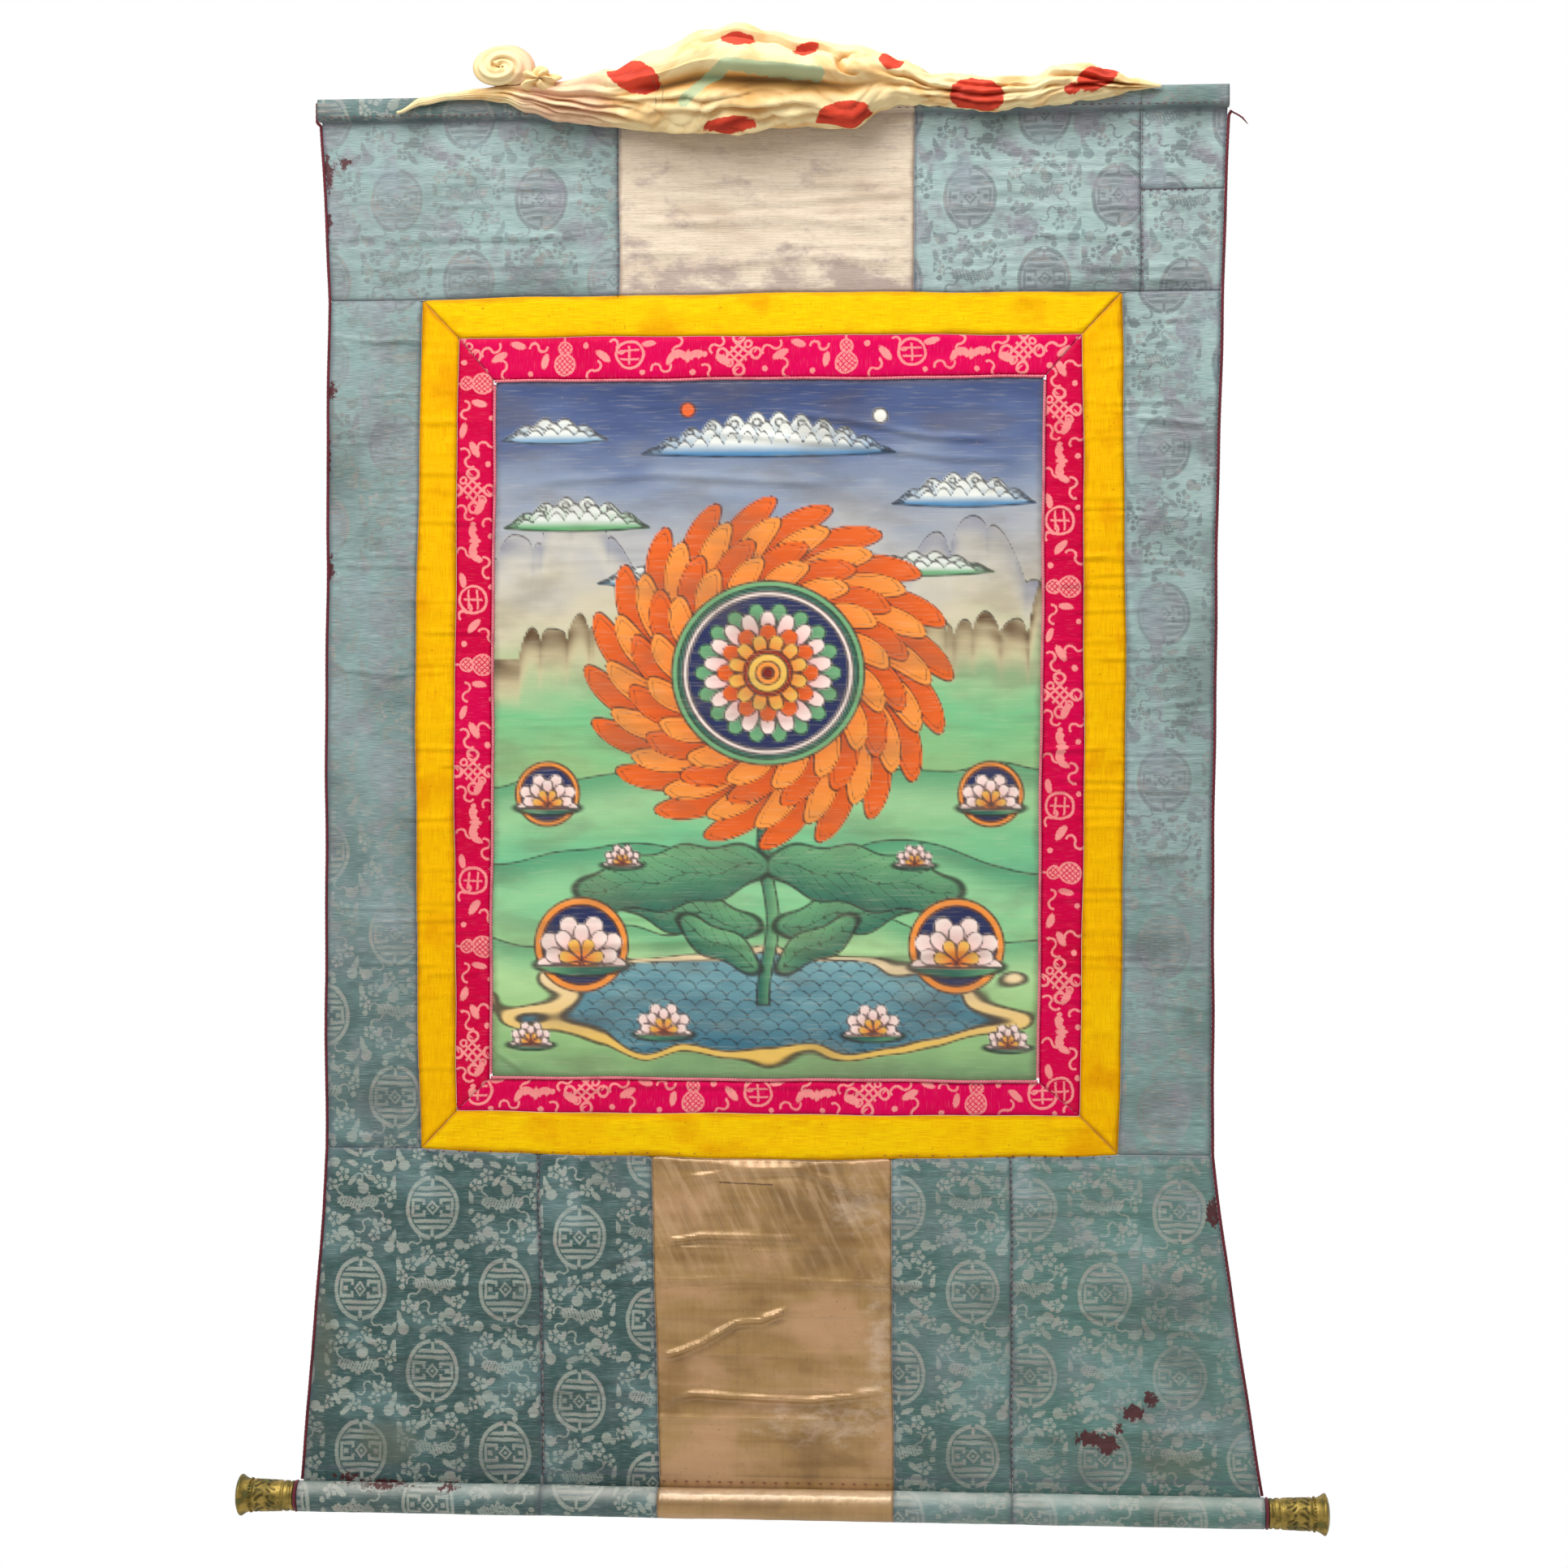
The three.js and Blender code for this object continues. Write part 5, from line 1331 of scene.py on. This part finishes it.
veilRows = np.array([  # x, top, bottom, front, back
    (-306, -12, -14.5, -12.5, -10), (-284, -1, -7.6, -14, -9.5), (-261, 2, -4, -15, -9.5), (-237, 5, -4, -17, -9),
    (-217, 7, -7, -20, -5), (-197, 8, -15.4, -23, -3), (-170, 9, -23.6, -26, 0), (-130, 17.5, -28.8, -31, 1.5),
    (-90, 31.6, -32.7, -37, 1.5), (-50, 46, -36.8, -42, 1.5), (-23, 50.6, -37, -44, 1.5), (3, 46.2, -33.4, -43, 1.5),
    (36, 38.8, -32, -40, 1.5), (69, 32.8, -34.7, -37, 1.5), (95, 28, -18.6, -30, 1), (110, 21, -13.5, -25, 0),
    (135, 10.8, -14.7, -22, -2), (181, 6.5, -20.5, -22, -4), (214, 6.3, -17.2, -21, -3), (233, 14.6, -15.3, -25, 0),
    (259, 16.2, -13, -26, 1), (279, 11.3, -9.9, -22, 0), (295, 4.5, -5.8, -17, -6), (319, -0.5, -3.5, -12.5, -10),
], float)
veilFolds = [  # hollows that run along it, each under a lip that leans forward
    {"from": -140, "to": 112, "start": 82, "end": 100, "wide": 17, "deep": 0.66, "lip": 9.0},
    {"from": -120, "to": -20, "start": 60, "end": 64, "wide": 7, "deep": 0.22, "lip": 2.5},
    {"from": -84, "to": 88, "start": 30, "end": 38, "wide": 8, "deep": 0.34, "lip": 3.0},
    {"from": -118, "to": 20, "start": 116, "end": 120, "wide": 6, "deep": 0.2, "lip": 1.5},
    {"from": -100, "to": 60, "start": 140, "end": 134, "wide": 7, "deep": 0.26, "lip": 2.0},
    {"from": -60, "to": 96, "start": 160, "end": 148, "wide": 7, "deep": 0.2, "lip": 1.5},
    {"from": -236, "to": -96, "start": 30, "end": 122, "wide": 9, "deep": 0.42, "lip": 2.0},
    {"from": -226, "to": -92, "start": 84, "end": 162, "wide": 8, "deep": 0.42, "lip": 2.0},
    {"from": -226, "to": -96, "start": 58, "end": 142, "wide": 7, "deep": 0.36, "lip": 1.0},
    {"from": -215, "to": -104, "start": 112, "end": 176, "wide": 7, "deep": 0.36, "lip": 1.0},
    {"from": 86, "to": 160, "start": 70, "end": 92, "wide": 9, "deep": 0.42, "lip": 2.0},
    {"from": 92, "to": 240, "start": 104, "end": 98, "wide": 9, "deep": 0.34, "lip": 1.5},
    {"from": 100, "to": 230, "start": 132, "end": 134, "wide": 8, "deep": 0.26, "lip": 1.0},
    {"from": 140, "to": 236, "start": 60, "end": 70, "wide": 8, "deep": 0.24, "lip": 1.0},
    {"from": 220, "to": 314, "start": 50, "end": 118, "wide": 10, "deep": 0.4, "lip": 2.0},
    {"from": 232, "to": 314, "start": 96, "end": 146, "wide": 8, "deep": 0.32, "lip": 1.0},
    {"from": 212, "to": 300, "start": 130, "end": 90, "wide": 7, "deep": 0.24, "lip": 1.0},
]
veilDots = [  # x, z, half width, half height, tilt
    (-108, 9, 24, 13, -25), (-29, -32, 22, 6, 4), (64, -27, 23, 12, 8), (-22, 36, 15, 7, -6), (33, 27, 11, 6, 20),
    (102, 20, 10, 9, 10), (171, -9, 22, 14, -6), (268, 4, 18, 10, 25), (248, -6, 8, 4, 10),
]
greenBand = [(-66, -14), (-50, 2), (-30, 14), (0, 10), (44, 6)]
inkLines = [[(-92, 8), (-88, -4), (-90, -20)], [(-86, 6), (-83, -5), (-84, -19)]]
veilGrid = {"steps": 430, "sides": 124, "bulge": -44.0, "soft": 6.0}


def lineDistance(x, z, line):
    d = np.full(np.shape(x), 60.0)
    for (ax, az), (bx, bz) in zip(line[:-1], line[1:]):
        t = np.clip(((x - ax) * (bx - ax) + (z - az) * (bz - az)) / ((bx - ax) ** 2 + (bz - az) ** 2), 0, 1)
        d = np.minimum(d, np.hypot(x - ax - t * (bx - ax), z - az - t * (bz - az)))
    return d


def dotDistance(x, z):
    d = np.full(np.shape(x), 60.0)
    for cx, cz, a, b, tilt in veilDots:
        c, s = math.cos(math.radians(tilt)), math.sin(math.radians(tilt))
        p, q = (x - cx) * c + (z - cz) * s, (z - cz) * c - (x - cx) * s
        d = np.minimum(d, (np.hypot(p / a, q / b) - 1) * min(a, b))
    return d


def veilMarks(x, y, z, hollow, front):
    return {
        "dot": np.where(front, dotDistance(x, z), 60.0), "green": np.where(front, lineDistance(x, z, greenBand) - 4.5, 60.0),
        "ink": np.where(front, np.minimum.reduce([lineDistance(x, z, line) for line in inkLines]) - 0.5, 60.0),
        "hollow": hollow, "blush": ease((-110 - x) / 40) * ease((x + 215) / 20),
    }


def veilBody():
    g = veilGrid
    rows = veilRows
    x = np.linspace(rows[0, 0], rows[-1, 0], g["steps"])[:, None] + 0 * np.zeros((1, g["sides"]))
    angle = np.linspace(0, 360, g["sides"], endpoint=False)[None, :] + 0 * x
    i = np.clip(np.searchsorted(rows[:, 0], x[:, 0], side="right") - 1, 0, len(rows) - 2)
    t = ease((x[:, 0] - rows[i, 0]) / (rows[i + 1, 0] - rows[i, 0]))
    top, bottom, front, back = (lerp(rows[i, k], rows[i + 1, k], t)[:, None] for k in (1, 2, 3, 4))
    share, hollow, lean = np.ones_like(x), np.zeros_like(x), np.zeros_like(x)
    for f in veilFolds:
        t = np.clip((x - f["from"]) / (f["to"] - f["from"]), 0, 1)
        hold = np.sin(np.pi * t) ** 0.8
        off = (angle - lerp(f["start"], f["end"], t) - 5 * lumps(x, 0 * x, 24, 1, int(f["start"]))) / f["wide"]
        dip = hold * bell(np.where(off < 0, off * 2.0, off * 0.9))  # steep under the lip
        share = share - f["deep"] * dip
        # Painted shade grows in each hollow under its lip
        hollow = hollow + f["deep"] * dip * 1.8
        lean = lean + f["lip"] * hold * bell((off + 1.5) / 0.8)
    facing = np.sin(np.radians(angle))
    pleat = np.sin(np.radians(angle * 9) + x / 30 + 3 * lumps(x, angle, 60, 70, 31)) * 0.025
    share = share + pleat + 0.05 * lumps(x, angle, 26, 24, 32) + 0.04 * lumps(x + angle, angle, 12, 11, 33)
    crumple = ease((x - 98) / 20) * (0.12 * lumps(x + 0.3 * angle, angle, 10, 17, 34) + 0.06 * lumps(x, angle + x, 6, 9, 36))
    gather = (1 - np.abs(np.sin(np.radians(angle * 7 - x * 2.2) + 2 * lumps(x, angle, 40, 60, 38))) ** 0.5) * ease((-92 - x) / 30)
    wrinkle = (1 - np.abs(np.sin(x / 26 + angle / 11 + 3 * lumps(x, angle, 34, 26, 39))) ** 0.4) * ease((x + 120) / 30) * ease((110 - x) / 20) * ease((angle - 96) / 14)
    mouth = (x > 50) * bell((np.hypot((x - 74) / 15, (angle - 52) / 22) - 1) / 0.2) * ease((82 - x) / 12)
    share = share + crumple - 0.16 * gather - 0.1 * wrinkle - 0.2 * mouth
    # More painted shade in the gathers, the wrinkles, the curled mouth and the crumpled dips
    hollow = hollow + 0.5 * gather + 0.35 * wrinkle + 0.8 * mouth - 3.0 * np.minimum(crumple, 0)
    y = (front + back) / 2 - share * facing * (back - front) / 2 - lean
    z = (top + bottom) / 2 + share * np.cos(np.radians(angle)) * (top - bottom) / 2 - 0.5 * lean
    y = np.where(y < g["bulge"], g["bulge"] - g["soft"] * np.tanh((g["bulge"] - y) / g["soft"]), y)
    clear = hem["front"] - 1.0
    under = (y > clear) & (z < 0.7)
    lift = under & (z > -3 - (y - clear) * 0.2)
    z = np.where(lift, 0.7, z)
    y = np.where(under & ~lift, clear, y)
    girth = np.cumsum(np.hypot(np.diff(y, axis=1, prepend=y[:, -1:]), np.diff(z, axis=1, prepend=z[:, -1:])), axis=1)
    onFront = (angle > 8) & (angle < 176)
    return gridMesh("veil_body", x, y, z, (x, girth), veilFinish, veilMarks(x, y, z, hollow, onFront), True)


# Knotted end: a soft tube wound like a snail, and a crumpled bow beside it
veilKnot = {"x": -218.0, "y": -14.0, "z": 20.5, "turns": 1.7, "from": 5.0, "to": 18.0, "tall": 0.74, "tube": (7.0, 11.0)}
veilBow = {"x": -186.0, "y": -20.0, "z": 9.5, "wide": 15.0, "out": 8.0, "tall": 8.5}


def veilCoil():
    k = veilKnot
    steps, sides = 150, 40
    t = np.linspace(0, 1, steps)[:, None]
    turn = np.arange(sides)[None, :] * 2 * np.pi / sides + 0 * t
    spin = 2 * np.pi * (k["turns"] * t + 0.02)
    reach = lerp(k["from"], k["to"], t)
    cx, cz = k["x"] - reach * np.cos(spin), k["z"] + k["tall"] * reach * np.sin(spin)
    cy = k["y"] - 5 * (1 - t) + 2.5 * np.sin(spin)
    wide = lerp(k["tube"][0], k["tube"][1], ease(t)) * ease(t * 14 + 0.08) * ease((1 - t) * 10 + 0.15)
    wide = wide * (1 + 0.14 * np.cos(7 * turn + 9 * t) + 0.1 * lumps(60 * t + 0 * turn, turn * 12, 6, 9, 35))
    x = cx - wide * np.cos(turn) * np.cos(spin)
    z = cz + k["tall"] * wide * np.cos(turn) * np.sin(spin) * 1.1
    y = cy - wide * np.sin(turn) * 0.95
    # Painted shade on the coil: none on its front, most towards its back
    hollow = np.clip(0.45 - 0.75 * np.sin(turn), 0, 1)
    return gridMesh("veil_coil", x, y, z, (t * 90 + 0 * turn, turn * 8), veilFinish, veilMarks(x, y, z, hollow, np.zeros_like(x, bool)), True)


def veilTie():
    b = veilBow
    rings, sides = 40, 64
    down = np.linspace(0.001, np.pi - 0.001, rings)[:, None]
    turn = np.arange(sides)[None, :] * 2 * np.pi / sides + 0 * down
    share = 1 + 0.22 * np.sin(5 * turn + 2.2 * np.sin(2 * down)) + 0.2 * lumps(turn * 10, down * 20 + 0 * turn, 9, 9, 37)
    x = b["x"] + b["wide"] * share * np.sin(down) * np.cos(turn)
    z = b["z"] + b["tall"] * share * np.sin(down) * np.sin(turn)
    y = b["y"] - b["out"] * share * np.cos(down)
    # Painted shade on the bow, deeper where it dips in
    marks = veilMarks(x, y, z, np.clip(1.3 - share, 0.3, 1), np.zeros_like(x, bool))
    marks["green"] = 60.0 + 0 * x
    marks["blush"] = 0 * x
    return gridMesh("veil_tie", x, y, z, (turn * 10, down * 10 + 0 * turn), veilFinish, marks, True)


veil = joined([addObject(mesh.name, mesh) for mesh in (veilBody(), veilCoil(), veilTie())], "veil_silk_wrap")
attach(veil, "root")
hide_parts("veil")
print("veil done")

# Hand stitches along the seams and beads on the caps, from one tree

stitchRuns = {
    "hem_stitches": {"line": [(x, hem["front"] - 0.15, -15.4) for x in range(-368, 370, 4)], "spacing": 6.5, "long": 3.4, "thick": 0.55},
    "patch_stitches": {"line": [(-124.2, None, z) for z in range(-30, -166, -3)], "spacing": 6.4, "long": 2.8, "thick": 0.5},
    "far_seam_stitches": {"line": [(304.6, None, z) for z in range(-24, -166, -3)], "spacing": 5.4, "long": 3.0, "thick": 0.5},
    "split_stitches": {"line": [(x, None, -84.2) for x in range(306, 346, 3)], "spacing": 5.4, "long": 3.0, "thick": 0.5},
    "left_seam_stitches": {"line": [(None, 1, z) for z in range(-874, -1136, -3)], "spacing": 5.4, "long": 3.0, "thick": 0.5},
    "right_seam_stitches": {"line": [(None, 4, z) for z in range(-874, -1136, -3)], "spacing": 5.4, "long": 3.0, "thick": 0.5},
    "border_stitches": {"line": [(x, None, -869.4) for x in range(-282, 282, 4)], "spacing": 13.0, "long": 2.4, "thick": 0.7},
    "fold_stitches": {"line": [(x, -2.0, roll["axisZ"] + 15.5) for x in range(-86, 102, 4)], "spacing": 9.0, "long": 3.2, "thick": 0.8},
}


def stitchTree():
    tree = bpy.data.node_groups.new("sewn_run", "GeometryNodeTree")
    tree.interface.new_socket("Geometry", in_out="INPUT", socket_type="NodeSocketGeometry")
    for name in ("Spacing", "Length", "Thickness", "Uneven"):
        tree.interface.new_socket(name, in_out="INPUT", socket_type="NodeSocketFloat")
    tree.interface.new_socket("Seed", in_out="INPUT", socket_type="NodeSocketInt")
    tree.interface.new_socket("Finish", in_out="INPUT", socket_type="NodeSocketMaterial")
    tree.interface.new_socket("Geometry", in_out="OUTPUT", socket_type="NodeSocketGeometry")

    def add(kind, settings=None, sockets=None):
        made = tree.nodes.new(kind)
        for name, value in (settings or {}).items():
            setattr(made, name, value)
        for key, value in (sockets or {}).items():
            if isinstance(value, bpy.types.NodeSocket):
                tree.links.new(value, made.inputs[key])
            else:
                made.inputs[key].default_value = value
        return made

    given = add("NodeGroupInput").outputs
    line = add("GeometryNodeMeshToCurve", None, {"Mesh": given["Geometry"]})
    dots = add("GeometryNodeCurveToPoints", {"mode": "LENGTH"}, {"Curve": line.outputs["Curve"], "Length": given["Spacing"]})
    bead = add("GeometryNodeMeshUVSphere", None, {"Segments": 7, "Rings": 4, "Radius": 0.5})
    aim = add("FunctionNodeAlignRotationToVector", {"axis": "X"}, {"Vector": dots.outputs["Tangent"]})
    low = add("ShaderNodeMath", {"operation": "MULTIPLY"}, {0: given["Uneven"], 1: -1.0})
    swing = add("FunctionNodeRandomValue", {"data_type": "FLOAT"}, {"Min": low.outputs[0], "Max": given["Uneven"], "Seed": given["Seed"]})
    tilt = add("ShaderNodeCombineXYZ", None, {"Y": swing.outputs[1]})
    tilt2 = add("FunctionNodeEulerToRotation", None, {"Euler": tilt.outputs[0]})
    aimed = add("FunctionNodeRotateRotation", {"rotation_space": "LOCAL"}, {"Rotation": aim.outputs[0], "Rotate By": tilt2.outputs[0]})
    size = add("ShaderNodeCombineXYZ", None, {"X": given["Length"], "Y": given["Thickness"], "Z": given["Thickness"]})
    laid = add("GeometryNodeInstanceOnPoints", None, {"Points": dots.outputs["Points"], "Instance": bead.outputs["Mesh"], "Rotation": aimed.outputs[0], "Scale": size.outputs[0]})
    real = add("GeometryNodeRealizeInstances", None, {"Geometry": laid.outputs[0]})
    done = add("GeometryNodeSetMaterial", None, {"Geometry": real.outputs[0], "Material": given["Finish"]})
    smooth = add("GeometryNodeSetShadeSmooth", None, {0: done.outputs[0]})
    tree.links.new(smooth.outputs[0], add("NodeGroupOutput").inputs[0])
    return tree


sewnRun = stitchTree()


def sewn(name, points, slotName, finish, seed, spacing, long, thick, uneven, closed=False):
    line = bpy.data.meshes.new(name + "_line")
    count = len(points)
    pairs = [(k, (k + 1) % count) for k in range(count if closed else count - 1)]
    line.from_pydata([tuple(c * mm for c in p) for p in points], pairs, [])
    guide = addObject(name + "_line", line)
    nodes = guide.modifiers.new("run", "NODES")
    nodes.node_group = sewnRun
    values = {"Spacing": spacing * mm, "Length": long * mm, "Thickness": thick * mm, "Uneven": uneven, "Seed": seed, "Finish": finish}
    for item in sewnRun.interface.items_tree:
        if item.in_out == "INPUT" and item.name in values:
            nodes[item.identifier] = values[item.name]
    mesh = bpy.data.meshes.new_from_object(guide.evaluated_get(bpy.context.evaluated_depsgraph_get()))
    bpy.data.objects.remove(guide)
    piece = addObject(name, mesh)
    mesh.name = name
    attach(piece, "root")
    return piece


for seed, (name, r) in enumerate(stitchRuns.items()):
    points = []
    for px, py, pz in r["line"]:
        if px is None:
            px = float(seamLines[py](np.array(float(pz))))
            py = None
        if py is None:
            py = float(clothDepth(np.array(float(px)), np.array(float(pz)))) + cloth["front"] + 0.4
        points.append((px, py, pz))
    sewn(name, points, "red_cord", threadFinish, seed, r["spacing"], r["long"], r["thick"], 0.12)

capBeads = {"atLong": 36.2, "radius": 13.4, "spacing": 2.9, "size": 2.0}
for side, edge, sign in (("left", leftEdge, -1), ("right", rightEdge, 1)):
    beadX = edge["roll"] + sign * (3.2 + capBeads["atLong"])
    ring = [(beadX, roll["axisY"] + capBeads["radius"] * math.cos(a), roll["axisZ"] + capBeads["radius"] * math.sin(a)) for a in np.linspace(0, 2 * math.pi, 96, endpoint=False)]
    sewn(f"cap_{side}_beads", ring, "brass_cap", brassFinish, 50, capBeads["spacing"], capBeads["size"], capBeads["size"], 0.0, True)
print("stitches and beads done")

# Floor, light and camera

studio = {"floorZ": -1.62, "behind": 1.0, "ahead": 0.43, "key": 52.0, "top": 24.0}
floorMesh = bpy.data.meshes.new("pale_floor")
floorMesh.from_pydata([(-2.4, -3.2, studio["floorZ"]), (2.4, -3.2, studio["floorZ"]), (2.4, 1.3, studio["floorZ"]), (-2.4, 1.3, studio["floorZ"])], [], [(0, 1, 2, 3)])
floor = addObject("pale_floor", floorMesh)
floorFinish, floorWire, _ = newFinish("pale_floor_paint", Roughness=0.7)
floorNoise = floorWire.node("ShaderNodeTexNoise", None, {"Vector": floorWire.node("ShaderNodeTexCoord", None, None, 3), "Scale": 6.0})
wear(floorFinish, floorWire.mix(floorNoise, srgb(232, 231, 228), srgb(240, 239, 236)))
floorMesh.materials.append(floorFinish)

world = bpy.data.worlds.new("studio")
bpy.context.scene.world = world
world.use_nodes = True
sky = Wire(world.node_tree)
_, towards, _ = sky.outs("ShaderNodeSeparateXYZ", None, {0: sky.node("ShaderNodeTexCoord", None, None, 0)})
glow = towards.step(-0.1, 0.6) * (studio["behind"] - studio["ahead"]) + studio["ahead"]
world.node_tree.links.new(glow.socket, world.node_tree.nodes["Background"].inputs["Strength"])
world.node_tree.nodes["Background"].inputs["Color"].default_value = (1, 1, 1, 1)


def areaLight(name, place, turn, size, power):
    light = bpy.data.lights.new(name, "AREA")
    light.shape = "RECTANGLE"
    light.size, light.size_y = size
    light.energy = power
    lamp = bpy.data.objects.new(name, light)
    lamp.location = place
    lamp.rotation_euler = [math.radians(a) for a in turn]
    bpy.context.scene.collection.objects.link(lamp)


areaLight("key_light", (-1.1, -2.0, 1.5), (46, 0, -26), (1.5, 1.5), studio["key"])
areaLight("top_light", (0.1, -0.75, 1.25), (22, 0, 0), (1.6, 0.5), studio["top"])

view = bpy.data.cameras.new("photo_view")
view.sensor_fit = "HORIZONTAL"
view.sensor_width = 36
view.lens = 67.25
camera = bpy.data.objects.new("photo_view", view)
camera.location = (0.1918, -2.3933, -0.5662)
camera.rotation_euler = (math.radians(90), 0, math.radians(4.275))
bpy.context.scene.collection.objects.link(camera)
bpy.context.scene.camera = camera
bpy.context.scene.view_settings.view_transform = "Standard"
print("studio done")
